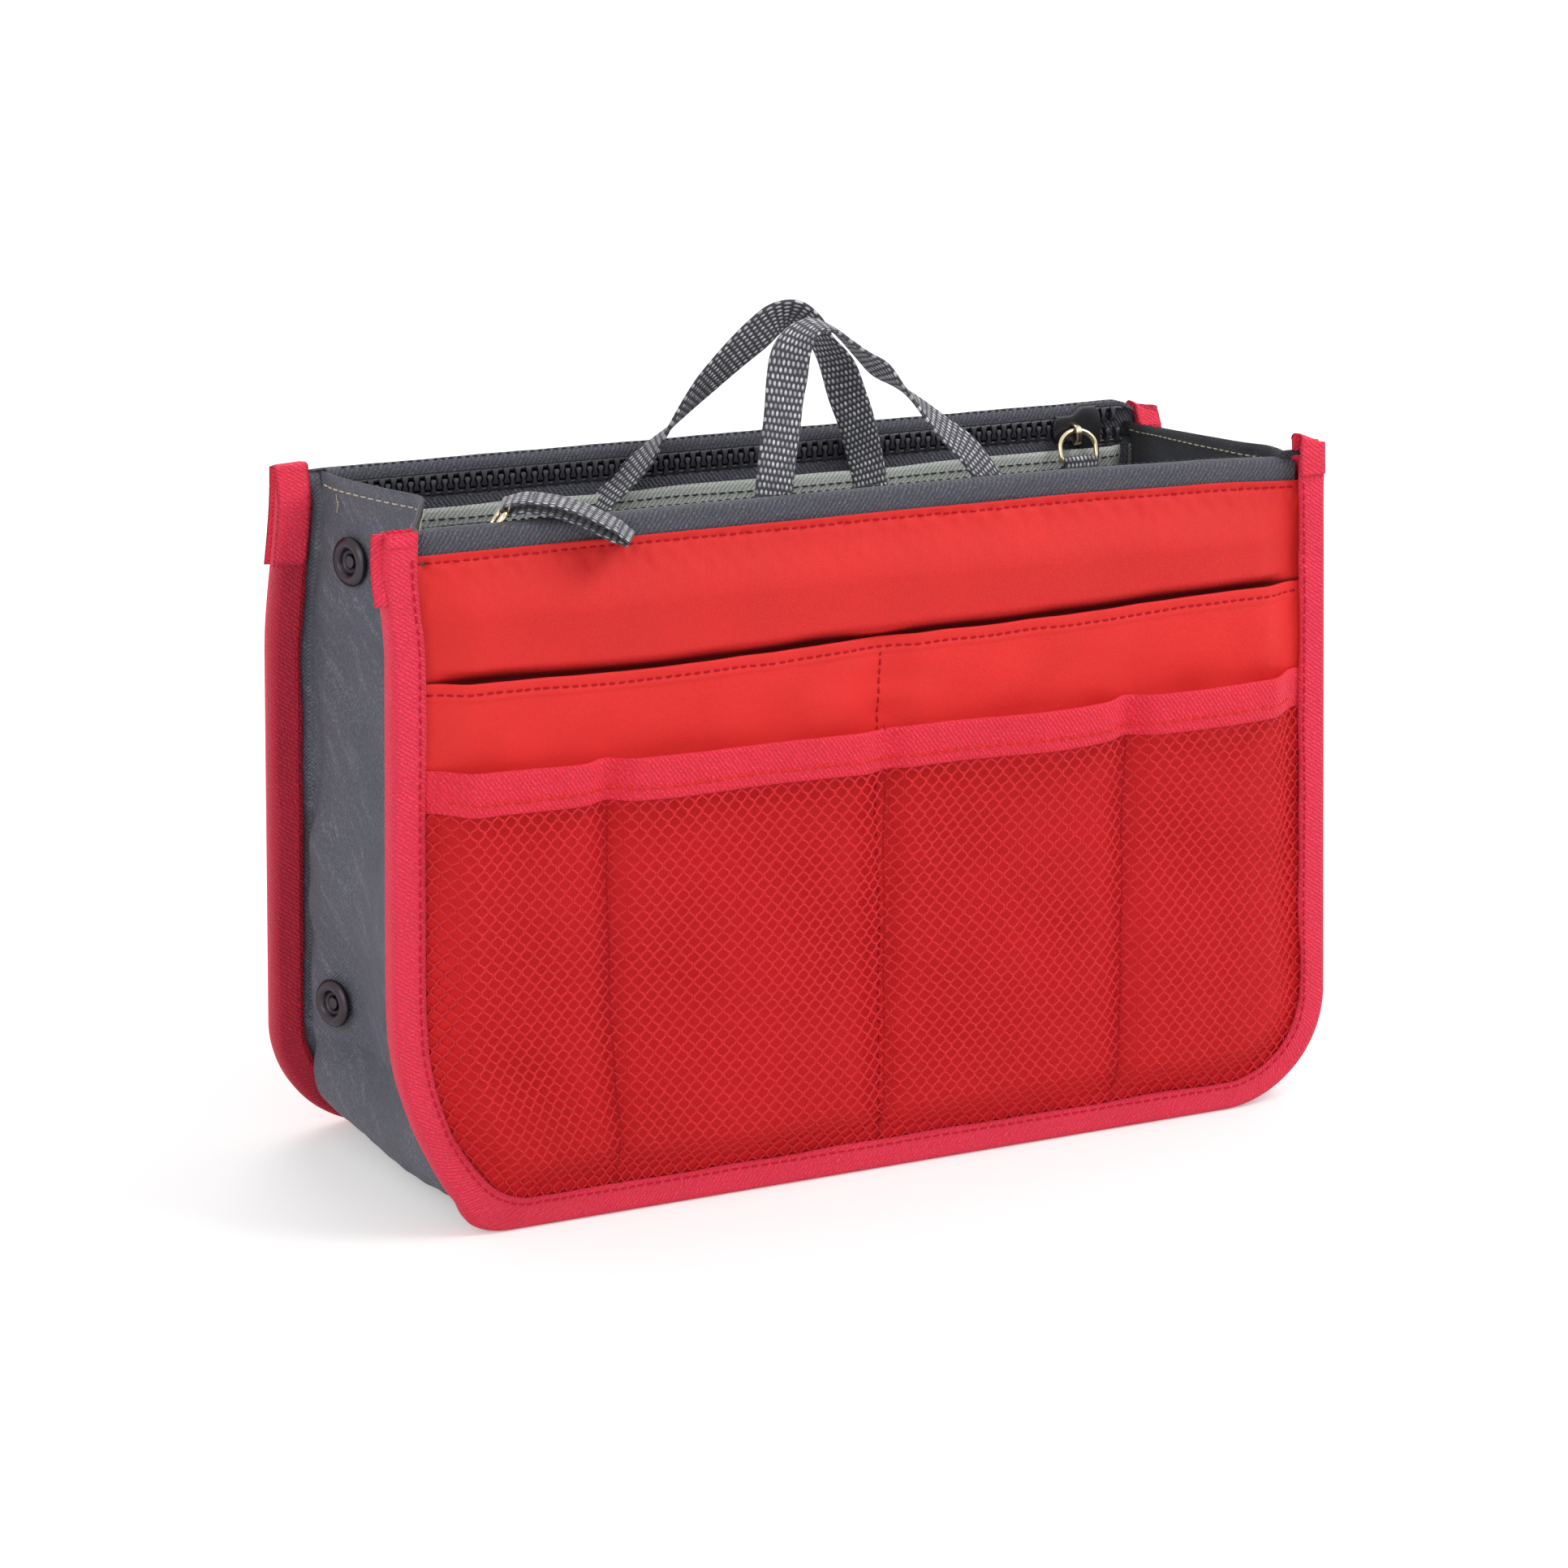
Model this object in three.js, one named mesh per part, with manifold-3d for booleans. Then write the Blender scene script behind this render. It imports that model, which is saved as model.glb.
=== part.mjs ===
// A soft bag organizer: two padded walls, each with its own zipped compartment, outside pockets and a
// short webbing handle, joined by one gusset that folds in at the sides and is narrowed by press studs.
// Millimetres. X runs along the bag, the front wall is on -Y, and Z is up from the floor it stands on.
import * as THREE from "three";
import { mergeVertices } from "three/addons/utils/BufferGeometryUtils.js";
import Module from "manifold-3d";

const wasm = await Module();
wasm.setup();

// The walls
const bottomWidth = 265;
const topWidth = 254.4;
const wallHeight = 179.5;
const bagDepth = 94;
const cornerRadius = 30;

// Cloth and padding
const tapeThick = 0.8; // the ribbed binding tape
const netThick = 0.6;
const clothThick = 0.5;
const foamThick = 2.2;
const backingThick = 0.4;
const gussetThick = 0.8;
const zipTapeThick = 0.6;
const seat = 0.15; // between layers that lie on each other
const clearance = 0.3; // between pieces that meet end to end

// The bindings
const bindingWidth = 9.5;
const bindingBevel = 1;
const layerEdge = 1.2; // from the wall's edge to the cut edge of each layer inside the binding
const netBindingHeight = 10.5;

// The face of each wall
const tapeShow = 6.5; // how much of the zip's tape shows above the face panel
const tapeLap = 6.5; // how far the face panel covers the tape
const backingStandUp = 2.5; // beyond the foam
const slipTop = 142; // from the floor
const netTop = 121; // from the floor

// The pockets
const pocketGap = 4.65; // from the wall to the slip pocket, and from that to the net
const pocketSlope = 9;
const pocketFlange = 10.2; // from the wall's edge to where a pocket starts to stand off
const pocketEdge = 2;
const netDividers = [-75, 0, 68];
const netRibWidth = 2.2;
const netCell = 13;
const netStrand = 0.16; // a strand's share of a net cell
const compartmentGap = 5; // the zipped compartment, from backing to lining
const liningFlange = 11.6;
const liningSlope = 8;
const liningHemHeight = 4;
const liningDrop = 3.1; // from the slider's path down to the lining's top

// The gusset
const gussetEdge = 2;
const gussetInset = 10.6; // from the wall's edge to where the gusset turns in
const gussetDrop = 1.5; // from the wall's top down to the gusset's
const foldDepth = 14; // how far the gusset is folded in at its top
const foldFoot = 40; // the height at which the fold starts
const gussetSag = 2; // how far it stands out below that

// The zips
const chainBehind = 2.55; // from the backing in to the middle of the zip's tape
const chainShort = 2.2; // from each end of the tape to the chain's end stop
const toothPitch = 3.06;
const toothNeck = 0.375; // as a share of the pitch
const toothHead = 0.555; // wider than the mouth between two opposite heads, which is what locks them
const toothTip = 1.3; // beyond the chain's middle
const toothRoot = 1.45; // back from the chain's middle
const chainEdge = 2.9; // from the chain's middle to the outer edge of a row
const chainThick = 2.4;
const rowSpread = 2.2; // how far each row stands off beyond the slider's wedge
const openTeeth = 11; // of both rows together, left open behind the slider
const tapeRoll = 2; // how high the upper tape's roll over the top edge is, to its middle
const lowerTapeLap = 10; // how far the lower tape runs down behind the lining

// The sliders and their pulls
const sliderRoom = 2.2; // from the slider up to the wall's top
const sliderTail = 7;
const sliderNose = 7.5;
const sliderPlate = 1;
const sliderPlay = 0.2; // between the teeth and the plates
const sliderRail = 0.7;
const sliderSlot = 1.2; // the slot in each rail that the tape runs through
const wedgeHalfWidth = 0.6;
const bailReach = 4.2;
const bailBar = 0.9;
const bailHalfSpan = 3.4;
const bailHalfWidth = 0.8;
const ringHalfWidth = 6.3;
const ringDrop = 9.4;
const ringWire = 0.7; // radius
const ringCorner = 1.6;
const tabWidth = 10;
const tabThick = 2.3;
const tabLength = 34;
const tabEye = 1.1; // radius of the eye that the ring's bar runs through

// The handles
const strapWidth = 12;
const strapThick = 1.4;
const handleCentre = 6.5; // along the front wall
const legSpread = 31; // from the handle's centre to the middle of each leg
const legTail = 12; // how far each leg is sewn in below the lining's top
const hingeRise = 2; // from the wall's top to the line the loop bends on
const hingeBehind = 7.4; // from the chain in to the line the loop bends on
const loopHeight = 36;
const loopLean = 10; // degrees, towards the inside of the bag
// The loop's line, as shares of the leg spread and the loop's height: steep at one leg, slanting at
// the other.
const loopLine = [
  [-1, 0],
  [-0.85, 0.27],
  [-0.71, 0.6],
  [-0.6, 0.86],
  [-0.42, 0.99],
  [-0.18, 0.91],
  [0.24, 0.6],
  [0.6, 0.38],
  [0.86, 0.22],
  [0.98, 0.09],
  [1, 0],
];

// The press studs
const studShare = 0.61; // of the way from the bag's middle plane to the gusset's flange
const upperStudHeight = 157.5;
const lowerStudHeight = 41;
const studBand = 8.5; // how far above and below a stud the gusset is flat
const socketRadius = 6.25;
const socketHeight = 2.4;
const studRadius = 5.6;
const capRadius = 6;
const capHeight = 1.9;
const postRadius = 1.6;
const postHole = 2.1;

// Layers of the wall from the outside in, each as its distance from the bag's middle plane.
let reached = bagDepth / 2;
function layer(thick) {
  const outer = reached;
  reached = outer - thick - seat;
  return { outer, inner: outer - thick };
}
const outerLeaf = layer(tapeThick);
const netFlange = layer(netThick);
const slipFlange = layer(clothThick);
const facePanel = layer(clothThick);
const foam = layer(foamThick);
const backing = layer(backingThick);
const liningEdge = layer(clothThick);
const gussetFlange = layer(gussetThick);
const innerLeaf = layer(tapeThick);

const liningInner = backing.inner - compartmentGap - clothThick;
const slipInner = facePanel.outer + pocketGap;
const slipOuter = slipInner + clothThick;
const netInner = slipOuter + pocketGap;
const netOuter = netInner + netThick;
const facePanelTop = wallHeight - tapeShow;
const upperTapeFoot = facePanelTop - tapeLap;
const foamTop = upperTapeFoot - clearance - 0.2;
const backingTop = foamTop + backingStandUp;
const sliderHalfHeight = chainEdge + clearance + sliderRail + rowSpread;
const chainHeight = wallHeight - sliderRoom - sliderHalfHeight; // of the middle of the teeth
const liningTop = chainHeight - sliderHalfHeight - liningDrop;
const lowerTapeFoot = liningTop - lowerTapeLap;
const chainOut = backing.inner - chainBehind;
const hingeOut = chainOut - hingeBehind;
const hingeHeight = wallHeight + hingeRise;
const gussetMiddle = (gussetFlange.outer + gussetFlange.inner) / 2;

const mix = (a, b, t) => a + (b - a) * t;
const clamp01 = (t) => Math.min(1, Math.max(0, t));
const smooth01 = (t) => clamp01(t) ** 2 * (3 - 2 * clamp01(t));
const ramp = (distance, start, length) => clamp01((distance - start) / length);
const evenly = (from, to, steps) =>
  Array.from({ length: steps + 1 }, (_, i) => mix(from, to, i / steps));

// Half the wall's width at a height: it narrows evenly from the rounded corners to the top.
const halfWidth = (z) => mix(bottomWidth, topWidth, ramp(z, cornerRadius, wallHeight - cornerRadius)) / 2;

// Closed solids

function closedSolid(points, triangles) {
  let volume = 0;
  for (const [a, b, c] of triangles) {
    const [p, q, r] = [points[a], points[b], points[c]];
    volume += p[0] * (q[1] * r[2] - q[2] * r[1]);
    volume -= p[1] * (q[0] * r[2] - q[2] * r[0]);
    volume += p[2] * (q[0] * r[1] - q[1] * r[0]);
  }
  const outward = volume < 0 ? triangles.map(([a, b, c]) => [a, c, b]) : triangles;
  return new wasm.Manifold(
    new wasm.Mesh({
      numProp: 3,
      vertProperties: new Float32Array(points.flat()),
      triVerts: new Uint32Array(outward.flat()),
    }),
  );
}

function solidFromGeometry(geometry) {
  const bare = geometry.clone();
  bare.deleteAttribute("normal");
  bare.deleteAttribute("uv");
  const merged = mergeVertices(bare, 1e-4);
  return new wasm.Manifold(
    new wasm.Mesh({
      numProp: 3,
      vertProperties: merged.attributes.position.array,
      triVerts: new Uint32Array(merged.index.array),
    }),
  );
}

// A section, a closed list of [p, q], carried through stations by place(p, q, station).
function sweep(section, stations, place, ring = false) {
  const size = section.length;
  const points = stations.flatMap((station) => section.map(([p, q]) => place(p, q, station)));
  const triangles = [];
  const bands = ring ? stations.length : stations.length - 1;
  for (let band = 0; band < bands; band += 1) {
    const here = band * size;
    const next = ((band + 1) % stations.length) * size;
    for (let k = 0; k < size; k += 1) {
      const after = (k + 1) % size;
      triangles.push([here + k, here + after, next + after], [here + k, next + after, next + k]);
    }
  }
  if (!ring) {
    const flat = section.map(([p, q]) => new THREE.Vector2(p, q));
    const turn = Math.sign(THREE.ShapeUtils.area(flat));
    const last = (stations.length - 1) * size;
    for (const [a, b, c] of THREE.ShapeUtils.triangulateShape(flat, [])) {
      const same = THREE.ShapeUtils.area([flat[a], flat[b], flat[c]]) * turn > 0;
      const [i, j] = same ? [b, c] : [c, b];
      triangles.push([a, j, i], [last + a, last + i, last + j]);
    }
  }
  return closedSolid(points, triangles);
}

// The solid between two sheets of points, near(i, j) and far(i, j).
function slab(columns, rows, near, far) {
  const points = [];
  const triangles = [];
  const across = columns + 1;
  const sheet = across * (rows + 1);
  for (const side of [near, far])
    for (let j = 0; j <= rows; j += 1) for (let i = 0; i <= columns; i += 1) points.push(side(i, j));
  const at = (i, j) => j * across + i;
  for (let j = 0; j < rows; j += 1)
    for (let i = 0; i < columns; i += 1) {
      const [a, b, c, d] = [at(i, j), at(i + 1, j), at(i + 1, j + 1), at(i, j + 1)];
      triangles.push([a, b, c], [a, c, d]);
      triangles.push([sheet + a, sheet + c, sheet + b], [sheet + a, sheet + d, sheet + c]);
    }
  const border = [];
  for (let i = 0; i < columns; i += 1) border.push(at(i, 0));
  for (let j = 0; j < rows; j += 1) border.push(at(columns, j));
  for (let i = columns; i > 0; i -= 1) border.push(at(i, rows));
  for (let j = rows; j > 0; j -= 1) border.push(at(0, j));
  border.forEach((a, k) => {
    const b = border[(k + 1) % border.length];
    triangles.push([b, a, sheet + a], [b, sheet + a, sheet + b]);
  });
  return closedSolid(points, triangles);
}

// A prism: an outline of [x, z] points between two distances from the middle plane.
const prism = (outline, inner, outer) => sweep(outline, [inner, outer], (x, z, out) => [x, out, z]);

// The outline of a strip seen on edge: a path of [p, q] given a thickness, half to each side.
function ribbon(path, thick) {
  const sides = [[], []];
  path.forEach(([p, q], k) => {
    const [before, after] = [path[Math.max(0, k - 1)], path[Math.min(path.length - 1, k + 1)]];
    const one = new THREE.Vector2(p - before[0], q - before[1]);
    const two = new THREE.Vector2(after[0] - p, after[1] - q);
    if (one.length() === 0) one.copy(two);
    if (two.length() === 0) two.copy(one);
    const along = one.normalize().clone().add(two.normalize()).normalize();
    const reach = thick / 2 / Math.max(0.5, along.dot(one));
    sides[0].push([p - along.y * reach, q + along.x * reach]);
    sides[1].push([p + along.y * reach, q - along.x * reach]);
  });
  return [...sides[0], ...sides[1].reverse()];
}

// A strap: at each station a centre, half its width and half its thickness, all as vectors.
const strapSection = [[-1, -1], [1, -1], [1, 1], [-1, 1]];
const strap = (stations) =>
  sweep(strapSection, stations, (p, q, { centre, width, thick }) =>
    centre.clone().addScaledVector(width, p).addScaledVector(thick, q).toArray(),
  );

// The wall's sheets, in x, distance out from the middle plane, and height

// Carries a point of the square-cornered sheet to the wall's rounded lower corner.
function roundCorner(x, z) {
  const centre = halfWidth(z) - cornerRadius;
  const a = Math.abs(x) - centre;
  const b = cornerRadius - z;
  if (a <= 0 || b <= 0) return [x, z];
  const scale = Math.max(a, b) / Math.hypot(a, b);
  return [Math.sign(x) * (centre + a * scale), cornerRadius - b * scale];
}

const edgeDistance = (x, z) => Math.min(halfWidth(z) - Math.abs(x), z);
const fromEdge = (inset, side) => (z) => side * (halfWidth(z) - inset);

// A sheet across the wall: insets of its outer rows and columns, inner columns by place, and its top.
function wallSheet(insets, inside, heights, inner, thick) {
  const columns = [
    ...insets.map((inset) => fromEdge(inset, -1)),
    ...inside.map((x) => () => x),
    ...[...insets].reverse().map((inset) => fromEdge(inset, 1)),
  ];
  const rows = [...insets, ...heights];
  const point = (i, j, lift) => {
    const x = columns[i](rows[j]);
    const [roundX, roundZ] = roundCorner(x, rows[j]);
    return [roundX, inner(x, rows[j]) + lift, roundZ];
  };
  return slab(
    columns.length - 1,
    rows.length - 1,
    (i, j) => point(i, j, 0),
    (i, j) => point(i, j, thick),
  );
}

const cornerInsets = [layerEdge, 9, 18, cornerRadius];
const flatSheet = (top, { outer, inner }) =>
  wallSheet(cornerInsets, [], [top], () => inner, outer - inner);

const slipLevel = (x, z) =>
  mix(
    slipFlange.inner,
    slipInner,
    Math.min(ramp(edgeDistance(x, z), pocketFlange, pocketSlope), ramp(Math.abs(x), 0, pocketSlope)),
  );

const pocketInsets = [pocketEdge, pocketFlange, pocketFlange + pocketSlope, cornerRadius];

const slipPocket = () =>
  wallSheet(pocketInsets, [-pocketSlope, 0, pocketSlope], [slipTop], slipLevel, clothThick);

// The net's sloping border, from the flange under the binding to the level of the net.
function netBorder() {
  const full = pocketFlange + pocketSlope;
  const inside = [
    [pocketEdge, netFlange.inner],
    [pocketFlange, netFlange.inner],
    [full, netInner],
    [full + 1, netInner],
  ];
  const outside = inside.map(([inset, out]) => [inset, out + netThick]).reverse();
  const top = netTop - clothThick - clearance;
  const stations = outlineStations(top, 3, 3);
  return sweep([...inside, ...outside], stations, (inset, out, at) => at.point(inset, out));
}

// Stations down one side of the wall, round its lower corners and up the other side.
function outlineStations(top, sideSteps, bottomSteps, sideHeights) {
  const heights = sideHeights ?? evenly(top, cornerRadius, sideSteps);
  const arcSteps = 6;
  const half = halfWidth(cornerRadius);
  const left = heights.map((z) => ({ x: -halfWidth(z), z, inX: 1, inZ: 0 }));
  for (let k = 1; k <= arcSteps; k += 1) {
    const angle = Math.PI + ((Math.PI / 2) * k) / arcSteps;
    const [cos, sin] = [Math.cos(angle), Math.sin(angle)];
    left.push({
      x: -half + cornerRadius * (1 + cos),
      z: cornerRadius * (1 + sin),
      inX: -cos,
      inZ: -sin,
    });
  }
  const right = left.map(({ x, z, inX, inZ }) => ({ x: -x, z, inX: -inX, inZ })).reverse();
  const floor = evenly(left.at(-1).x, right[0].x, bottomSteps).slice(1, -1);
  const all = [...left, ...floor.map((x) => ({ x, z: 0, inX: 0, inZ: 1 })), ...right];
  for (const at of all) at.point = (inset, out) => [at.x + at.inX * inset, out, at.z + at.inZ * inset];
  return all;
}

// The flat of the net: diamonds in a lattice, each with a gap in it.
function netFlat() {
  const inset = pocketFlange + pocketSlope;
  const top = netTop - clothThick - clearance;
  const half = halfWidth(netTop) - inset;
  const columns = 2 * Math.round(half / netCell);
  const rows = 2 * Math.round((top - inset) / netCell / 2);
  const points = [];
  const known = new Map();
  const triangles = [];
  const place = (i, j) => {
    const x = mix(-half, half, i / columns);
    const z = mix(inset, top, j / rows);
    return roundCorner(x, z);
  };
  function pair(key, [x, z]) {
    if (!known.has(key)) {
      known.set(key, points.length);
      points.push([x, netInner, z], [x, netOuter, z]);
    }
    return known.get(key);
  }
  const both = (a, b, c) => triangles.push([a, b, c], [a + 1, c + 1, b + 1]);
  const wall = (a, b) => triangles.push([b, a, a + 1], [b, a + 1, b + 1]);
  for (let j = 0; j <= rows; j += 1)
    for (let i = 1 - (j % 2); i <= columns; i += 2) {
      const middle = place(i, j);
      const around = [[i + 1, j], [i, j + 1], [i - 1, j], [i, j - 1]].filter(
        ([p, q]) => p >= 0 && q >= 0 && p <= columns && q <= rows,
      );
      const nodes = around.map(([p, q]) => pair(`${p} ${q}`, place(p, q)));
      if (nodes.length === 3) {
        both(...nodes);
        const missing = [i === columns, j === rows, i === 0, j === 0].indexOf(true);
        wall(nodes[(missing + 2) % 3], nodes[missing % 3]);
        continue;
      }
      const gap = around.map(([p, q], k) => {
        const [x, z] = place(p, q);
        const near = 1 - netStrand;
        return pair(`${i} ${j} gap ${k}`, [mix(middle[0], x, near), mix(middle[1], z, near)]);
      });
      nodes.forEach((node, k) => {
        const next = (k + 1) % 4;
        both(node, nodes[next], gap[next]);
        both(node, gap[next], gap[k]);
        wall(gap[next], gap[k]);
      });
    }
  return closedSolid(points, triangles);
}

// The net, with a rib along each seam that holds it to the pocket behind.
function netPocket() {
  const foot = pocketFlange + pocketSlope;
  const top = netTop - netBindingHeight - clearance;
  const ribs = netDividers.map((x) => {
    const sides = [x - netRibWidth / 2, x + netRibWidth / 2];
    const behind = slipLevel(x, foot) + clothThick + seat + (x === 0 ? netRibWidth / 2 : 0);
    return prism([[sides[0], foot], [sides[1], foot], [sides[1], top], [sides[0], top]], behind, netOuter);
  });
  return [netBorder(), ...ribs].reduce((whole, piece) => whole.add(piece), netFlat());
}

// The tape folded over the net's top edge, from one side binding to the other.
function netBinding() {
  const full = pocketFlange + pocketSlope;
  const foot = netTop - netBindingHeight;
  const [far, near] = [netOuter + seat, netInner - seat].map((out) => out - netInner);
  const section = [
    [far, foot],
    [far + clothThick, foot],
    [far + clothThick, netTop],
    [near - clothThick, netTop],
    [near - clothThick, foot],
    [near, foot],
    [near, netTop - clothThick],
    [far, netTop - clothThick],
  ];
  const end = pocketFlange + 1.4;
  const level = (inset) => mix(netFlange.inner, netInner, ramp(inset, pocketFlange, pocketSlope));
  const stations = [[end, -1], [full, -1], [full, 1], [end, 1]];
  return sweep(section, stations, (p, z, [inset, side]) => [fromEdge(inset, side)(z), level(inset) + p, z]);
}

// The tape folded over the wall's two sides and bottom.
function edgeBinding() {
  const [outer, inner] = [outerLeaf.outer, innerLeaf.inner];
  const section = [
    [bindingBevel, outer],
    [bindingWidth, outer],
    [bindingWidth, outerLeaf.inner],
    [tapeThick, outerLeaf.inner],
    [tapeThick, innerLeaf.outer],
    [bindingWidth, innerLeaf.outer],
    [bindingWidth, inner],
    [bindingBevel, inner],
    [0, inner + bindingBevel],
    [0, outer - bindingBevel],
  ];
  return sweep(section, outlineStations(wallHeight, 3, 3), (inset, out, at) => at.point(inset, out));
}

// The lining stands in from the backing by the compartment, and its hem closes on the lower tape.
function lining(legPlaces) {
  const level = (x, z) =>
    mix(liningEdge.inner, liningInner, ramp(edgeDistance(x, z), liningFlange, liningSlope));
  const sheet = wallSheet(
    [layerEdge, liningFlange, liningFlange + liningSlope, cornerRadius],
    [],
    [liningTop],
    level,
    clothThick,
  );
  const hemEnd = halfWidth(liningTop) - liningFlange - liningSlope;
  const hemOuter = chainOut - zipTapeThick / 2 - clearance;
  let hem = block([-hemEnd, hemEnd], [liningInner, hemOuter], [liningTop - liningHemHeight, liningTop]);
  for (const x of legPlaces) {
    const half = strapWidth / 2 + clearance;
    const slot = [liningInner + clothThick, hemOuter + 1];
    const height = [liningTop - 2 * liningHemHeight, liningTop + 1];
    hem = hem.subtract(block([x - half, x + half], slot, height));
  }
  return sheet.add(hem);
}

function block([x0, x1], [out0, out1], [z0, z1]) {
  return prism([[x0, z0], [x1, z0], [x1, z1], [x0, z1]], out0, out1);
}

// The zips

// The tapes end where the gusset turns in, which is a little deeper in at the tape than at the flange.
const foldAtTape = foldDepth * (1 - (chainOut - zipTapeThick) / gussetMiddle);
const tapeEnd = halfWidth(wallHeight) - gussetInset - gussetThick / 2 - foldAtTape - clearance;
const chainLength = 2 * (tapeEnd - chainShort);

// How far each row of teeth stands off the chain's middle: the rows part within three teeth, and the
// place is set so that no two heads pass each other half way.
const spreadLength = 1.5 * toothPitch;
const partPlace = -chainLength / 2 + (openTeeth / 2) * toothPitch + 0.08 * spreadLength;
const rowShift = (x) => rowSpread * smooth01((partPlace - x) / spreadLength);
const shiftPlaces = evenly(partPlace, partPlace - spreadLength, 5);
const sliderPlace = partPlace - 2;

// One row of dovetail teeth on its bead. side is 1 for the upper row, whose teeth point down.
function toothRow(side) {
  const count = Math.floor(chainLength / toothPitch) - 1;
  const first = -chainLength / 2 + toothPitch * (side > 0 ? 1 : 0.5);
  const height = (x, offset) => chainHeight + side * (offset + rowShift(x));
  const shape = new THREE.Shape();
  const end = chainLength / 2;
  shape.moveTo(-end, height(-end, chainEdge));
  shape.lineTo(-end, height(-end, toothRoot));
  for (let k = 0; k < count; k += 1) {
    const x = first + k * toothPitch;
    const [neck, head] = [toothNeck, toothHead].map((share) => (share * toothPitch) / 2);
    shape.lineTo(x - neck, height(x, toothRoot));
    shape.lineTo(x - head, height(x, -toothTip));
    shape.lineTo(x + head, height(x, -toothTip));
    shape.lineTo(x + neck, height(x, toothRoot));
  }
  shape.lineTo(end, height(end, toothRoot));
  shape.lineTo(end, height(end, chainEdge));
  for (const x of shiftPlaces) shape.lineTo(x, height(x, chainEdge));
  const extruded = new THREE.ExtrudeGeometry(shape, { depth: chainThick, bevelEnabled: false });
  // The extrusion runs along its own Z, which is the wall's way out.
  extruded.rotateX(Math.PI / 2).translate(0, chainOut + chainThick / 2, 0);
  return solidFromGeometry(extruded);
}

const tapeStations = [-tapeEnd, ...[...shiftPlaces].reverse(), tapeEnd];

// From the upper row the tape rolls over the wall's top edge and runs down behind the face panel.
function upperTape() {
  const rollHeight = wallHeight - tapeRoll - zipTapeThick / 2;
  const tailOut = facePanel.inner - seat - zipTapeThick / 2;
  const middle = (chainOut + tailOut) / 2;
  const radius = (tailOut - chainOut) / 2;
  const roll = evenly(Math.PI, 0, 5).map((angle) => [
    middle + radius * Math.cos(angle),
    rollHeight + tapeRoll * Math.sin(angle),
  ]);
  const edge = chainHeight + chainEdge + seat;
  const section = ribbon([[chainOut, edge], ...roll, [tailOut, upperTapeFoot]], zipTapeThick);
  const nearTeeth = (out, z) => out < middle && z < edge + 0.5;
  return sweep(section, tapeStations, (out, z, x) => [x, out, nearTeeth(out, z) ? z + rowShift(x) : z]);
}

// The lower tape's ends are notched where the lining runs out to the binding.
function lowerTape() {
  const edge = chainHeight - chainEdge - seat;
  const section = ribbon([[chainOut, lowerTapeFoot], [chainOut, edge]], zipTapeThick);
  const sheet = sweep(section, tapeStations, (out, z, x) => [x, out, z > edge - 1 ? z - rowShift(x) : z]);
  const notch = halfWidth(liningTop) - liningFlange - liningSlope;
  const out = [chainOut - zipTapeThick, chainOut + zipTapeThick];
  const height = [lowerTapeFoot - zipTapeThick, liningTop + clearance];
  return sheet
    .subtract(block([-bottomWidth, -notch], out, height))
    .subtract(block([notch, bottomWidth], out, height));
}

const cavityIn = chainOut - chainThick / 2 - sliderPlay;
const cavityOut = chainOut + chainThick / 2 + sliderPlay;
const plateIn = cavityIn - sliderPlate;
const wireOut = plateIn - (bailReach - bailBar) / 2; // the ring's wire is in the middle of the bail

// The slider: two plates and their rails round the rows, joined by the wedge that parts them.
function slider() {
  const plateOut = cavityOut + sliderPlate - 0.1;
  const ends = [sliderPlace - sliderNose, sliderPlace + sliderTail];
  const places = [ends[0], ...[...shiftPlaces].reverse(), ends[1]];
  const outline = (wall, reach) => {
    const side = (sign) =>
      places.map((x, k) => {
        const stretch = k === 0 ? -reach : k === places.length - 1 ? reach : 0;
        return [x + stretch, chainHeight + sign * (chainEdge + clearance + wall + rowShift(x))];
      });
    return [...side(-1), ...side(1).reverse()];
  };
  const slotHalf = sliderSlot / 2;
  const shell = prism(outline(sliderRail, 0), plateIn, plateOut)
    .subtract(prism(outline(0, 1), cavityIn, cavityOut))
    .subtract(prism(outline(2 * sliderRail, 1), chainOut - slotHalf, chainOut + slotHalf));
  const wedge = [
    [-3, 0],
    [-5.2, wedgeHalfWidth],
    [-7, wedgeHalfWidth],
    [-7, -wedgeHalfWidth],
    [-5.2, -wedgeHalfWidth],
  ];
  const post = prism(
    wedge.map(([x, z]) => [sliderPlace + x, chainHeight + z]),
    cavityIn - 0.1,
    cavityOut + 0.1,
  );
  return shell.add(post).add(bail());
}

// The bridge on the slider's inner plate that the pull's ring hangs from.
const bailPlace = sliderPlace + 1;
function bail() {
  const crown = plateIn - bailReach;
  const root = plateIn + 0.1;
  const [half, inside] = [bailHalfSpan, bailHalfSpan - bailBar];
  const section = [
    [root, half],
    [crown + bailBar, half],
    [crown, inside],
    [crown, -inside],
    [crown + bailBar, -half],
    [root, -half],
    [root, -inside],
    [crown + bailBar, -inside],
    [crown + bailBar, inside],
    [root, inside],
  ];
  const sides = [bailPlace - bailHalfWidth, bailPlace + bailHalfWidth];
  return sweep(section, sides, (out, z, x) => [x, out, chainHeight + z]);
}

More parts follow.
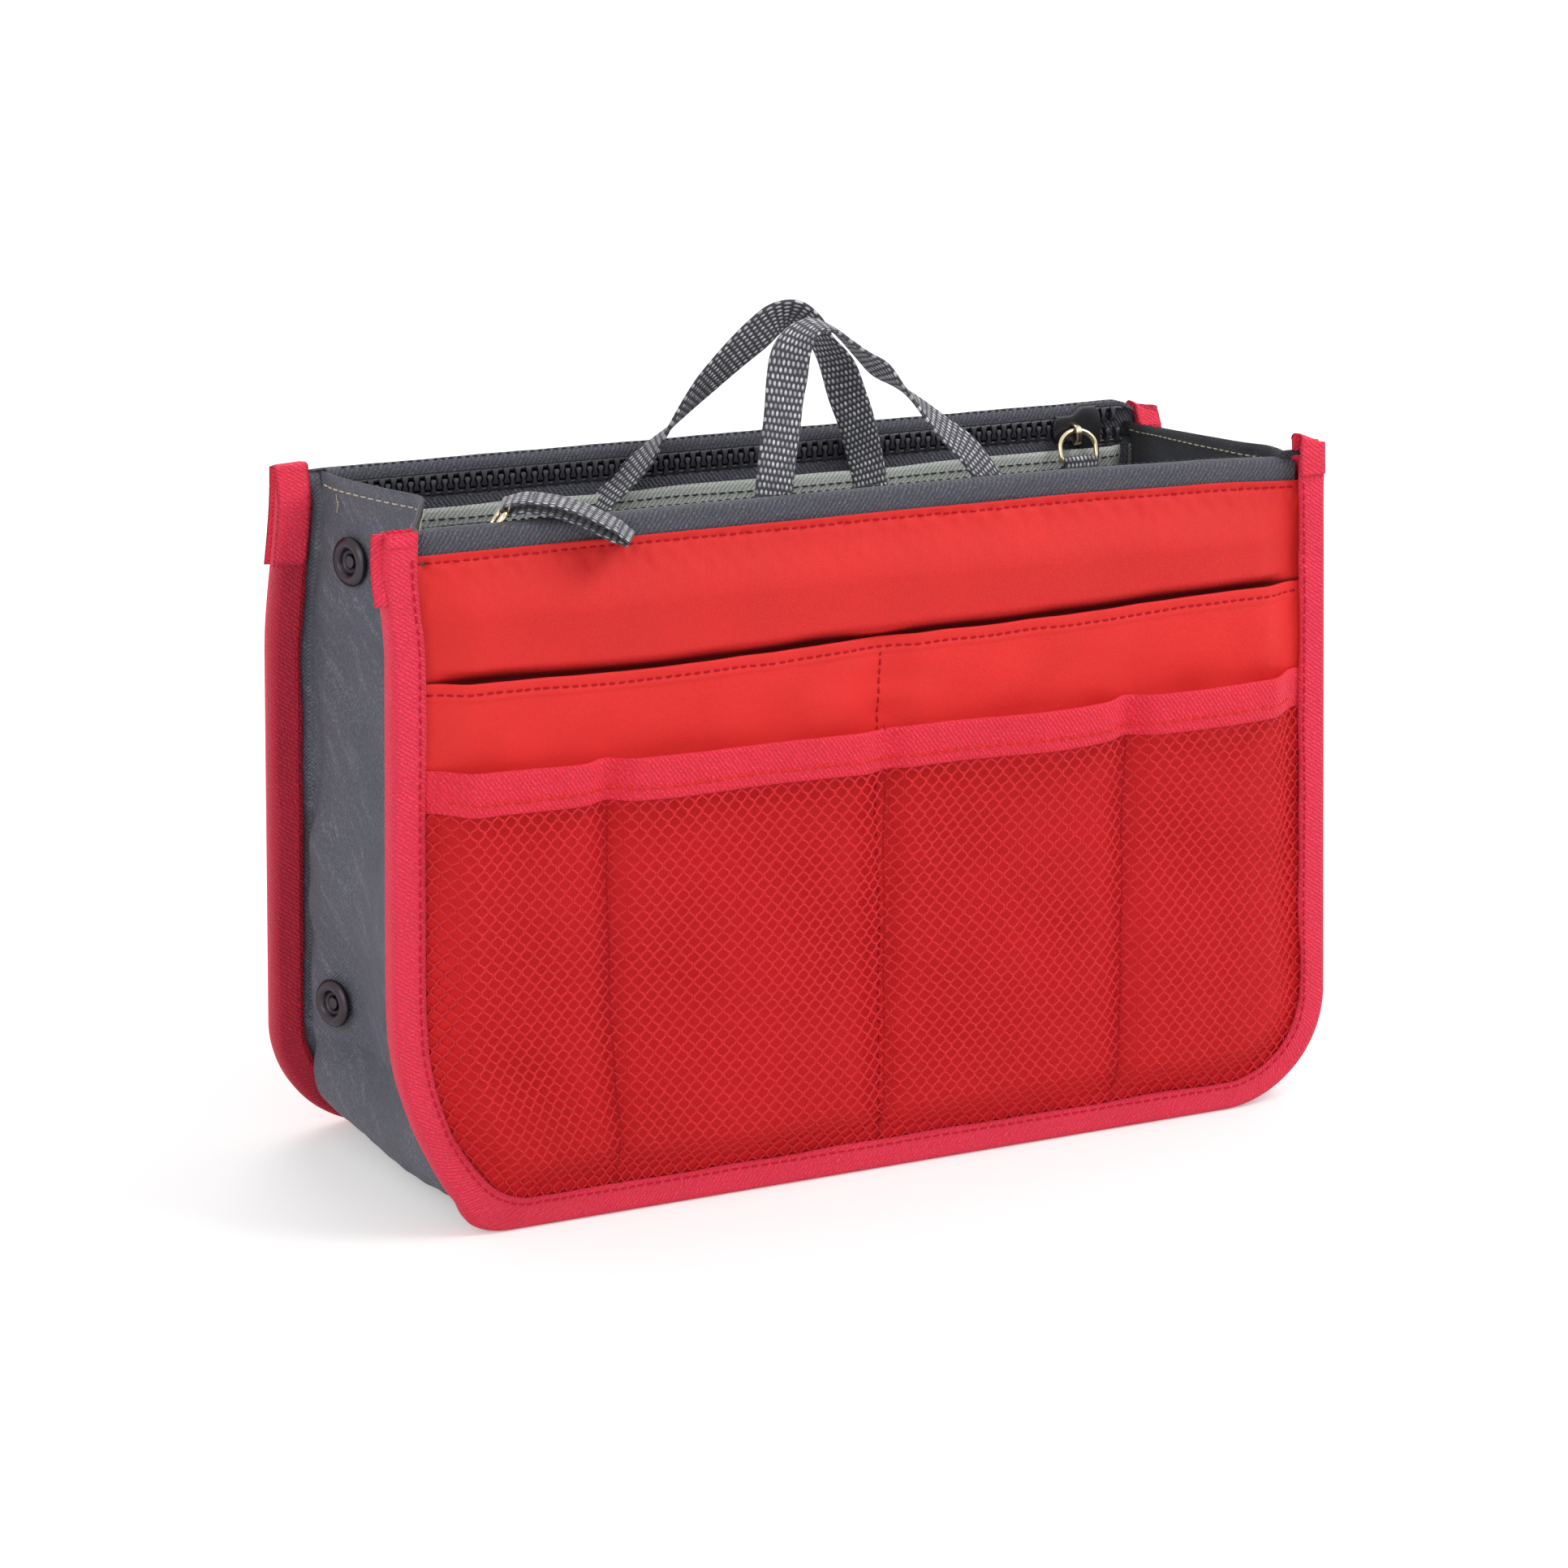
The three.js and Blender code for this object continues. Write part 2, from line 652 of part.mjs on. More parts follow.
// A D ring: the bend of its wire, then the bar that the tab is sewn round.
// across and along are its own two directions, along running from the bail to the bar.
function dRing({ origin, across, along }) {
  const bendHeight = ringDrop - ringCorner * 2;
  const path = evenly(Math.PI, 0, 8).map((angle) => [
    ringHalfWidth * Math.cos(angle),
    bendHeight - bendHeight * Math.sin(angle),
  ]);
  for (const side of [1, -1])
    for (const angle of side > 0 ? evenly(0, Math.PI / 2, 2) : evenly(Math.PI / 2, 0, 2))
      path.push([
        side * (ringHalfWidth - ringCorner * (1 - Math.cos(angle))),
        ringDrop - ringCorner * (1 - Math.sin(angle)),
      ]);
  const face = new THREE.Vector3().crossVectors(across, along);
  const stations = path.map(([p, q], k) => {
    const before = path.at(k - 1);
    const after = path[(k + 1) % path.length];
    const way = new THREE.Vector2(after[0] - before[0], after[1] - before[1]).normalize();
    const normal = across.clone().multiplyScalar(way.y).addScaledVector(along, -way.x);
    const centre = origin.clone().addScaledVector(across, p).addScaledVector(along, q);
    return { centre, normal };
  });
  const hexagon = evenly(0, 2 * Math.PI, 6).slice(1).map((angle) => [Math.cos(angle), Math.sin(angle)]);
  const place = (p, q, { centre, normal }) =>
    centre.clone().addScaledVector(normal, p * ringWire).addScaledVector(face, q * ringWire).toArray();
  return sweep(hexagon, stations, place, true);
}

// The webbing tab: doubled, with the ring's bar through the eye of its fold.
function pullTab({ across, points, normals }) {
  const curve = new THREE.CatmullRomCurve3(points);
  const steps = points.length * 2;
  const stations = evenly(0, 1, steps).map((t) => {
    const centre = curve.getPoint(t);
    const tangent = curve.getTangent(t);
    const place = t * (normals.length - 1);
    const k = Math.min(normals.length - 2, Math.floor(place));
    const normal = normals[k].clone().lerp(normals[k + 1], place - k);
    normal.addScaledVector(tangent, -normal.dot(tangent)).normalize();
    const width = new THREE.Vector3().crossVectors(tangent, normal).multiplyScalar(tabWidth / 2);
    return { centre, width, thick: normal.multiplyScalar(tabThick / 2) };
  });
  const rod = (radius, half) => {
    const angles = evenly(0, 2 * Math.PI, 12).slice(1);
    const rim = angles.map((a) => [radius * Math.cos(a), radius * Math.sin(a)]);
    const away = new THREE.Vector3().subVectors(points[1], points[0]);
    away.addScaledVector(across, -away.dot(across)).normalize();
    const face = new THREE.Vector3().crossVectors(across, away);
    return sweep(rim, [-half, half], (p, q, s) =>
      points[0]
        .clone()
        .addScaledVector(away, p)
        .addScaledVector(face, q)
        .addScaledVector(across, s)
        .toArray(),
    );
  };
  return strap(stations)
    .add(rod(tabEye + tabThick / 2, tabWidth / 2))
    .subtract(rod(tabEye, tabWidth));
}

// Where the front pull stands up from its bail and lies over the wall's top edge.
function drapedPull() {
  const slant = THREE.MathUtils.degToRad(31);
  const across = new THREE.Vector3(Math.cos(slant), 0, -Math.sin(slant));
  const along = new THREE.Vector3(Math.sin(slant), 0, Math.cos(slant));
  const origin = new THREE.Vector3(bailPlace, wireOut, chainHeight);
  const bar = origin.clone().addScaledVector(along, ringDrop);
  const top = wallHeight + tabThick / 2 + 1.2;
  const bend = top - bar.z;
  const hang = 9.4; // of the tab's end, down the wall's face
  const outside = bagDepth / 2 + tabThick / 2 + 0.6;
  // Each place is how far over the edge the tab has come, its own place there and the way it faces.
  const places = [
    [0, bar.y, bar.z, -1, 0],
    [bend * 0.8, bar.y + bend * 0.3, bar.z + bend * 0.7, -1, 1],
    [bend * 1.6, bar.y + bend, top, 0, 1],
    [bend + (outside - bar.y) / 2, (bar.y + outside) / 2, top + 0.2, 0, 1],
    [outside - bar.y, outside - 2.2, top, 0, 1],
    [outside - bar.y + 1.8, outside - 0.6, top - 0.7, 1, 1],
    [outside - bar.y + 3.6, outside, top - 2.4, 1, 0],
    [outside - bar.y + 3.6 + hang, outside - 0.1, top - 2.4 - hang, 1, 0],
  ];
  const drift = along.x / along.z;
  const points = places.map(([over, out, z]) => new THREE.Vector3(bar.x + over * drift, out, z));
  const normals = places.map(([, , , out, up]) => new THREE.Vector3(0, out, up).normalize());
  return { origin, across, along, points, normals };
}

// Where the rear pull hangs down in front of the lining.
function hangingPull() {
  const across = new THREE.Vector3(1, 0, 0);
  const along = new THREE.Vector3(0, -0.16, -1).normalize();
  const origin = new THREE.Vector3(bailPlace, wireOut, chainHeight - 1.2);
  const bar = origin.clone().addScaledVector(along, ringDrop);
  const points = evenly(0, tabLength, 2).map((drop) => new THREE.Vector3(bar.x, bar.y, bar.z - drop));
  const normals = points.map(() => new THREE.Vector3(0, -1, 0));
  return { origin, across, along, points, normals };
}

// The handles

// A leg is sewn in behind the lining's hem and stands clear of the slider's path above it.
function handleLeg(x) {
  const behind = chainOut - zipTapeThick / 2 - clearance - strapThick / 2 - 0.1;
  const path = [
    [behind, liningTop - legTail],
    [behind, liningTop + 0.6],
    [hingeOut + 0.6, liningTop + 4.6],
    [hingeOut, liningTop + 7.5],
    [hingeOut, hingeHeight - strapThick / 2 - clearance],
  ];
  const sides = [x - strapWidth / 2, x + strapWidth / 2];
  return sweep(ribbon(path, strapThick), sides, (out, z, along) => [along, out, z]);
}

// The loop leaves each leg flat to the wall, is turned a quarter at its top and turns back down its slant.
function handleLoop() {
  const lean = THREE.MathUtils.degToRad(loopLean);
  const rise = new THREE.Vector3(0, -Math.sin(lean), Math.cos(lean));
  const side = new THREE.Vector3(1, 0, 0);
  const facing = new THREE.Vector3().crossVectors(side, rise);
  const steps = 24;
  const line = new THREE.CatmullRomCurve3(
    loopLine.map(([across, up]) =>
      new THREE.Vector3(handleCentre + across * legSpread, hingeOut, hingeHeight).addScaledVector(
        rise,
        up * loopHeight,
      ),
    ),
  );
  const at = (t) => line.getPoint(clamp01(t));
  const stations = evenly(0, 1, steps).map((t) => {
    const ending = t === 0 || t === 1;
    const tangent = ending
      ? rise.clone().multiplyScalar(t === 0 ? 1 : -1)
      : at(t + 0.004).sub(at(t - 0.004)).normalize();
    const level = new THREE.Vector3().crossVectors(facing, tangent).normalize();
    const turn = (Math.PI / 2) * Math.min(smooth01((t - 0.2) / 0.3), smooth01((0.84 - t) / 0.3));
    const width = level.clone().multiplyScalar(Math.cos(turn)).addScaledVector(facing, Math.sin(turn));
    const thick = new THREE.Vector3().crossVectors(tangent, width);
    return {
      centre: at(t),
      width: width.multiplyScalar(strapWidth / 2),
      thick: thick.multiplyScalar(strapThick / 2),
    };
  });
  // Each end is rounded about the line on which the loop bends over the leg.
  const endCap = (station, way) => ({
    centre: station.centre.clone().addScaledVector(rise, way * strapThick * 0.36),
    width: station.width.clone(),
    thick: station.thick.clone().multiplyScalar(0.6),
  });
  return strap([endCap(stations[0], -1), ...stations, endCap(stations.at(-1), -1)]);
}

// The gusset and its press studs, in the bag's own frame

const foldAt = (z) => {
  const share = clamp01((z - foldFoot) / (wallHeight - foldFoot));
  return foldDepth * share ** 1.5 - gussetSag * (1 - share);
};
// The fold is even round each press stud, so that the stud sits on a flat place.
const gussetTop = wallHeight - gussetDrop;
const studHeights = [upperStudHeight, lowerStudHeight];
const foldLevel = (z) => studHeights.find((stud) => Math.abs(z - stud) <= studBand + 0.01) ?? z;

function gussetSheet() {
  const turnIn = gussetInset;
  const path = [
    [gussetEdge, gussetMiddle],
    [turnIn, gussetMiddle],
    [turnIn, 0],
    [turnIn, -gussetMiddle],
    [gussetEdge, -gussetMiddle],
  ];
  const studRows = studHeights.map((z) => [z + studBand, z - studBand]);
  const between = [1 / 3, 2 / 3].map((t) => mix(upperStudHeight, lowerStudHeight, t));
  const heights = [gussetTop, ...studRows[0], ...between, ...studRows[1], cornerRadius];
  return sweep(ribbon(path, gussetThick), outlineStations(gussetTop, 0, 4, heights), (inset, y, at) => {
    const share = 1 - Math.min(1, Math.abs(y) / gussetMiddle);
    const [x, , z] = at.point(inset + foldAt(foldLevel(at.z)) * share, 0);
    return [x, y, z];
  });
}

// A place on the side of the gusset and the way it faces. side is -1 at the left, half 1 at the rear.
function gussetPlace(side, half, z) {
  const point = (y, height) => {
    const inset = gussetInset + foldAt(z) * (1 - Math.abs(y) / gussetMiddle);
    return new THREE.Vector3(side * (halfWidth(height) - inset), y, height);
  };
  const y = half * studShare * gussetMiddle;
  const acrossWay = point(y + 2, z).sub(point(y - 2, z));
  const upWay = point(y, z + studBand).sub(point(y, z - studBand));
  const normal = new THREE.Vector3().crossVectors(acrossWay, upWay).normalize();
  if (normal.x * side < 0) normal.negate();
  return { middle: point(y, z), normal };
}

// A turned piece, its profile in radius and height above the cloth, set on the gusset.
function turned(profile, { middle, normal }) {
  const lathe = new THREE.LatheGeometry(profile.map(([r, h]) => new THREE.Vector2(r, h)), 14);
  const turn = new THREE.Quaternion().setFromUnitVectors(new THREE.Vector3(0, 1, 0), normal);
  lathe.applyQuaternion(turn).translate(...middle.toArray());
  return solidFromGeometry(lathe);
}

const onCloth = gussetThick / 2 + clearance;
const bore = postRadius + clearance;
const socketProfile = [
  [bore, onCloth],
  [socketRadius, onCloth],
  [socketRadius, onCloth + 0.9],
  [socketRadius - 1, onCloth + socketHeight - 0.2],
  [socketRadius - 2.2, onCloth + socketHeight],
  [socketRadius - 3.1, onCloth + socketHeight - 0.9],
  [bore, onCloth + 0.8],
  [bore, onCloth],
];
const studProfile = [
  [bore, onCloth],
  [studRadius, onCloth],
  [studRadius, onCloth + 0.7],
  [3.2, onCloth + 1],
  [2.7, onCloth + 1.9],
  [3.1, onCloth + 2.9],
  [2.6, onCloth + 3.6],
  [bore, onCloth + 3.6],
  [bore, onCloth],
];
const capProfile = [
  [0, -onCloth - capHeight],
  [capRadius - 2.5, -onCloth - capHeight + 0.2],
  [capRadius - 0.2, -onCloth - capHeight + 1],
  [capRadius, -onCloth],
  [postRadius, -onCloth],
  [postRadius, onCloth + 0.6],
  [0, onCloth + 0.6],
];
const holeProfile = [
  [0, -2],
  [postHole, -2],
  [postHole, 2],
  [0, 2],
];

// Materials

const finish = (color, roughness, metalness = 0) =>
  new THREE.MeshStandardMaterial({ color, roughness, metalness, side: THREE.DoubleSide });
const redNylon = () => finish(0xe8403f, 0.75);
const redNet = () => finish(0xd3283a, 0.7);
const pinkTape = () => finish(0xec3f5f, 0.8);
const greyNylon = () => finish(0x6d7580, 0.7);
const greyTwill = () => finish(0x9aa09c, 0.85);
const zipCloth = () => finish(0x4a4a52, 0.85);
const zipPlastic = () => finish(0x26262a, 0.45);
const webbing = () => finish(0x84848c, 0.9);
const whiteFoam = () => finish(0xe9e7e0, 0.95);
const paleGold = () => finish(0xd9c7a2, 0.3, 1);
const gunmetal = () => finish(0x55565c, 0.35, 1);

function mesh(name, solid, material, place) {
  const { vertProperties, triVerts, numProp } = solid.getMesh();
  const points = [];
  for (let k = 0; k < vertProperties.length; k += numProp)
    points.push(...place(vertProperties[k], vertProperties[k + 1], vertProperties[k + 2]));
  const geometry = new THREE.BufferGeometry();
  geometry.setAttribute("position", new THREE.Float32BufferAttribute(points, 3));
  geometry.setIndex(new THREE.BufferAttribute(triVerts, 1));
  const piece = new THREE.Mesh(geometry, material);
  piece.name = name;
  return piece;
}

// From the wall's x, distance out and height to the bag's frame. It mirrors, so faces are turned back.
function wallMesh(name, solid, material) {
  const piece = mesh(name, solid, material, (x, out, z) => [x, -out, z]);
  const order = piece.geometry.index.array;
  for (let k = 0; k < order.length; k += 3) [order[k + 1], order[k + 2]] = [order[k + 2], order[k + 1]];
  piece.geometry.computeVertexNormals();
  return piece;
}

function wall(name, pull) {
  const legs = { left: handleCentre - legSpread, right: handleCentre + legSpread };
  const pieces = {
    face_panel: [flatSheet(facePanelTop, facePanel), redNylon()],
    foam_pad: [flatSheet(foamTop, foam), whiteFoam()],
    backing: [flatSheet(backingTop, backing), greyNylon()],
    slip_pocket: [slipPocket(), redNylon()],
    net_pocket: [netPocket(), redNet()],
    net_binding: [netBinding(), pinkTape()],
    edge_binding: [edgeBinding(), pinkTape()],
    lining: [lining(Object.values(legs)), greyTwill()],
    zip_upper_tape: [upperTape(), zipCloth()],
    zip_lower_tape: [lowerTape(), zipCloth()],
    zip_upper_teeth: [toothRow(1), zipPlastic()],
    zip_lower_teeth: [toothRow(-1), zipPlastic()],
    zip_slider: [slider(), paleGold()],
    pull_ring: [dRing(pull), paleGold()],
    pull_tab: [pullTab(pull), webbing()],
    handle_left_leg: [handleLeg(legs.left), webbing()],
    handle_right_leg: [handleLeg(legs.right), webbing()],
    handle_loop: [handleLoop(), webbing()],
  };
  const group = new THREE.Group();
  for (const [part, [solid, material]] of Object.entries(pieces))
    group.add(wallMesh(`${name}_${part}`, solid, material));
  return group;
}

const bag = new THREE.Group();
bag.add(wall("front", drapedPull()));

const rearWall = wall("rear", hangingPull());
rearWall.rotation.z = Math.PI;
bag.add(rearWall);

let gusset = gussetSheet();
for (const [sideName, side] of [["left", -1], ["right", 1]])
  for (const [levelName, z] of [["upper", upperStudHeight], ["lower", lowerStudHeight]])
    for (const [halfName, half, kind, profile] of [
      ["rear", 1, "socket", socketProfile],
      ["front", -1, "stud", studProfile],
    ]) {
      const place = gussetPlace(side, half, z);
      const name = `${sideName}_${halfName}_${levelName}`;
      const same = (...point) => point;
      bag.add(mesh(`${name}_${kind}`, turned(profile, place), gunmetal(), same));
      bag.add(mesh(`${name}_cap`, turned(capProfile, place), gunmetal(), same));
      gusset = gusset.subtract(turned(holeProfile, place));
    }
bag.add(mesh("gusset", gusset, greyNylon(), (...point) => point));

export default bag;
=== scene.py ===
import bpy
import math
import numpy as np
from mathutils import Matrix


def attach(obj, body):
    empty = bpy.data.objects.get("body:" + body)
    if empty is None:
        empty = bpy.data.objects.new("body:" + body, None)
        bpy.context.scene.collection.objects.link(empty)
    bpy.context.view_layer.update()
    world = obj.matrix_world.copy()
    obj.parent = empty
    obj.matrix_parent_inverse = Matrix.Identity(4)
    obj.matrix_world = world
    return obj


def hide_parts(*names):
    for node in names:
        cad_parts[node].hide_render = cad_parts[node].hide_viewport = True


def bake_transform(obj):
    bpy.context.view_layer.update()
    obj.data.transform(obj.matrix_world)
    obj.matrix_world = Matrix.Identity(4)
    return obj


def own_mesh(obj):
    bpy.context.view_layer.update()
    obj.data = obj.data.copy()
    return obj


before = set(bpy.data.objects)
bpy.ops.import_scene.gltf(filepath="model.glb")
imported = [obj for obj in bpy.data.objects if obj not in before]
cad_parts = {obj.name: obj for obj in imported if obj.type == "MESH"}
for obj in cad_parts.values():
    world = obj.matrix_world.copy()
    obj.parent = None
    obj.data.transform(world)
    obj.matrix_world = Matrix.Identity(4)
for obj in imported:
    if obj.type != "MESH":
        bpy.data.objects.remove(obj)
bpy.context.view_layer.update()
print("frame loaded")

# sizes that several pieces share, in millimetres: x along a wall, out from the bag's middle, z up
bag = {
    "bottomHalf": 132.5,
    "topHalf": 127.2,
    "cornerRadius": 30,
    "wallTop": 179.5,
    "walls": ("front", "rear"),
    "gussetOut": 40.05,
    "gussetInset": 10.6,
    "chainOut": 38.7,
    "chainZ": 172.4,
    "chainHalf": 113.0,
    "toothPitch": 3.06,
    "chainEdge": 2.9,
    "partX": -95.8,
    "sliderX": -97.8,
}


def smooth(t):
    # 3t² - 2t³ between 0 and 1
    t = np.clip(t, 0, 1)
    return t * t * (3 - 2 * t)


def halfWidth(z):
    # half the wall's width: even up to the corner radius, then narrowing in a straight line
    share = np.clip((z - bag["cornerRadius"]) / (bag["wallTop"] - bag["cornerRadius"]), 0, 1)
    return bag["bottomHalf"] + (bag["topHalf"] - bag["bottomHalf"]) * share


def outlineHalf(z, inset):
    # half the width of the wall's outline moved in by inset: a quarter circle below, the side above
    radius = bag["cornerRadius"] - inset
    centre = bag["bottomHalf"] - bag["cornerRadius"]
    drop = np.clip(bag["cornerRadius"] - z, 0, radius)
    return np.where(z < bag["cornerRadius"], centre + np.sqrt(radius**2 - drop**2), halfWidth(z) - inset)


def edgeDistance(x, z):
    # how far a place on the wall is from its sides, rounded corners and bottom
    centre, radius = bag["bottomHalf"] - bag["cornerRadius"], bag["cornerRadius"]
    across, down = np.abs(x) - centre, radius - z
    corner = radius - np.hypot(np.maximum(across, 0), np.maximum(down, 0))
    plain = np.minimum(halfWidth(z) - np.abs(x), z)
    return np.where((across > 0) & (down > 0), corner, plain)


def rowHeights(inset, top, cornerRows, sideRows, fine=0, fineFrom=140.0):
    # heights that run evenly round the corner's quarter circle and then evenly up the side, closer above
    # fineFrom
    turn = np.linspace(0.02, math.pi / 2, cornerRows)
    low = bag["cornerRadius"] - (bag["cornerRadius"] - inset) * np.cos(turn)
    if not fine:
        return np.concatenate([low, np.linspace(bag["cornerRadius"], top, sideRows)[1:]])
    high = np.linspace(bag["cornerRadius"], fineFrom, sideRows)[1:]
    return np.concatenate([low, high, np.linspace(fineFrom, top, fine)[1:]])


def groove(distance, wide=0.8):
    # the valley that a row of stitches pulls into the cloth
    return np.exp(-((distance / wide) ** 2))


def ripples(x, z, wave, seed, count=9, stretch=1.0):
    # soft uneven waves from -1 to 1: sines of about one wavelength in mixed directions, averaged
    pick = np.random.default_rng(seed)
    total = 0
    for turn, length, phase in pick.uniform((0, 0.6, 0), (math.pi, 1.7, 2 * math.pi), (count, 3)):
        along = x * math.cos(turn) * stretch + z * math.sin(turn)
        total = total + np.sin(2 * math.pi * along / (wave * length) + phase)
    return total / math.sqrt(count * 1.2)


def rowShift(x):
    # how far a row of teeth stands off the chain's middle on the slider's open side
    return 2.2 * smooth((bag["partX"] - x) / (1.5 * bag["toothPitch"]))


def slump(x, z, share=1.0):
    # how far the front wall's left side has sagged in: most round its lower corner, fading up and across
    # the wall
    high = 2.0 * smooth((172 - z) / 25) + 8.8 * np.exp(-(((z - 17) / 22) ** 2)) * smooth((z + 3) / 12)
    return high * smooth((-x - 50) / 75) * share


def spread(x, z, share=1.0):
    # how far the rear wall's left side bows outwards below its top
    return 3.3 * smooth((176 - z) / 45) * smooth((-x - 50) / 75) * share


def dip(x, z, share=1.0):
    # how far the rear wall's right end drops at its top
    return 4.2 * smooth((x - 111) / 12) * smooth((z - 162) / 14) * share


def droop(x, z):
    # how far the front wall's top edge hangs towards its right end, most of it past the slider's last place
    return (0.9 * smooth((x - 45) / 50) + 1.3 * smooth((x - 90) / 35)) * smooth((z - 145) / 25)


def toFrame(wall, points):
    # from a wall's own x, out, z in millimetres to the bag's frame in metres
    turned = np.array(points, float)
    if wall in ("front", "gusset"):
        share = 1.0 if wall == "front" else np.clip(0.5 - turned[..., 1] / 80, 0, 1)
        turned[..., 0] += slump(turned[..., 0], turned[..., 2], share)
        if wall == "front":
            turned[..., 2] -= droop(turned[..., 0], turned[..., 2])
    if wall in ("rear", "gusset"):
        way, share = (-1, 1.0) if wall == "rear" else (1, np.clip(0.5 + turned[..., 1] / 80, 0, 1))
        x, z = turned[..., 0] * way, turned[..., 2].copy()
        turned[..., 2] -= dip(x, z, share)
        turned[..., 0] -= way * spread(x, z, share)
    turned *= 0.001
    if wall == "front":
        turned[..., 1] *= -1
    elif wall == "rear":
        turned[..., 0] *= -1
    return turned


def runLength(points):
    # the distance along a line of points to each of them
    return np.concatenate([[0], np.cumsum(np.linalg.norm(np.diff(points, axis=0), axis=-1))])


def blunt(wave, power):
    # a sine or cosine whose crests are flattened, for cross-sections with rounded corners
    return np.sign(wave) * np.abs(wave) ** power


def unit(v):
    return v / np.maximum(np.linalg.norm(v, axis=-1, keepdims=True), 1e-12)


class Form:
    # gathers closed forms into one mesh; every corner of a face keeps its own place on the cloth, in
    # millimetres

    def __init__(self):
        self.points, self.faces, self.cuts, self.count = [], [], [], 0

    def add(self, points, faces, cuts):
        # a form whose signed volume is below zero is turned the right way out
        points = np.asarray(points, float).reshape(-1, 3)
        volume = 0
        for face in faces:
            a = points[face[:, 0]]
            for k in range(1, face.shape[1] - 1):
                volume += (a * np.cross(points[face[:, k]], points[face[:, k + 1]])).sum()
        for face, cut in zip(faces, cuts):
            self.faces.append((face[:, ::-1] if volume < 0 else face) + self.count)
            self.cuts.append(cut[:, ::-1] if volume < 0 else cut)
        self.points.append(points)
        self.count += len(points)

    def sheet(self, outer, inner, cut, under=0.0):
        # two grids of points, outer and inner, closed by a rim round their four sides; the finish finds the
        # inner grid's places moved across by under
        rows, cols = outer.shape[:2]
        top = np.arange(rows * cols).reshape(rows, cols)
        below = top + rows * cols
        cell = lambda g: np.stack([g[:-1, :-1], g[:-1, 1:], g[1:, 1:], g[1:, :-1]], -1).reshape(-1, 4)
        places = cut.reshape(-1, 2)
        both = np.concatenate([places, places + (under, 0)])
        rim = np.concatenate([top[0], top[1:, -1], top[-1, -2::-1], top[-2:0:-1, 0]])
        following = np.roll(rim, -1)
        side = np.stack([following, rim, rim + rows * cols, following + rows * cols], -1)
        faces = [cell(top), cell(below)[:, ::-1], side]
        points = np.concatenate([outer.reshape(-1, 3), inner.reshape(-1, 3)])
        self.add(points, faces, [both[f] for f in faces])

    def cloth(self, wall, x, out, z, thick, cut=None):
        # a sheet of even thickness about the surface (x, out, z), half on each side along its own normal
        middle = np.stack(np.broadcast_arrays(x, out, z), -1).astype(float)
        normal = unit(np.cross(np.gradient(middle, axis=0), np.gradient(middle, axis=1)))
        lift = normal * np.asarray(thick, float)[..., None] / 2
        cut = middle[..., [0, 2]] if cut is None else cut
        self.sheet(toFrame(wall, middle + lift), toFrame(wall, middle - lift), cut)

    def loft(self, rings, cut=None, closed=False):
        # rings of points joined in turn, each ring closed on itself; open lofts get a flat face at each end
        rows, cols = rings.shape[-3:-1]
        batch = rings.reshape(-1, rows, cols, 3)
        if cut is None:
            cut = np.zeros((rows + 1, cols + 1, 2))
            cut[..., 0], cut[..., 1] = np.arange(cols + 1), np.arange(rows + 1)[:, None]
        cut = np.broadcast_to(cut, (len(batch),) + cut.shape[-3:])
        grid = np.arange(batch[..., 0].size).reshape(len(batch), rows, cols)
        wrapped = np.concatenate([grid, grid[:, :, :1]], 2)
        if closed:
            wrapped = np.concatenate([wrapped, wrapped[:, :1]], 1)
        steps = wrapped.shape[1] - 1
        around = lambda g: np.stack([g[:, :-1, :-1], g[:, :-1, 1:], g[:, 1:, 1:], g[:, 1:, :-1]], 3)
        faces = [around(wrapped).reshape(-1, 4)]
        cuts = [around(cut[:, : steps + 1]).reshape(-1, 4, 2)]
        if not closed:
            faces += [grid[:, 0, ::-1], grid[:, -1]]
            cuts += [cut[:, 0, -2::-1], cut[:, rows - 1, :-1]]
        self.add(batch, faces, cuts)

    def strand(self, wall, paths, radius, facing, sides=6, closed=False):
        # round strands along paths (…, stations, 3); facing is the way their seam looks
        paths = np.asarray(paths, float)
        if closed:
            ahead = np.roll(paths, -1, -2) - np.roll(paths, 1, -2)
        else:
            ahead = np.gradient(paths, axis=-2)
        ahead = unit(ahead)
        across = unit(np.cross(ahead, np.broadcast_to(np.asarray(facing, float), ahead.shape)))
        lift = np.cross(across, ahead)
        angle = 2 * math.pi * (np.arange(sides) + 0.5) / sides
        radius = np.broadcast_to(np.asarray(radius, float), paths.shape[:-1])[..., None, None]
        ring = across[..., None, :] * np.cos(angle)[:, None] + lift[..., None, :] * np.sin(angle)[:, None]
        rings = paths[..., None, :] + ring * radius
        run = runLength(paths.reshape(-1, *paths.shape[-2:])[0])
        cut = np.zeros((paths.shape[-2] + 1, sides + 1, 2))
        cut[..., 0] = np.linspace(0, 2 * math.pi * float(radius.max()), sides + 1)
        cut[..., 1] = np.append(run, run[-1] + (run[-1] - run[-2]))[:, None]
        self.loft(toFrame(wall, rings), cut, closed)

    def strap(self, wall, path, widthWay, width, thick, across=10, bulge=0.0):
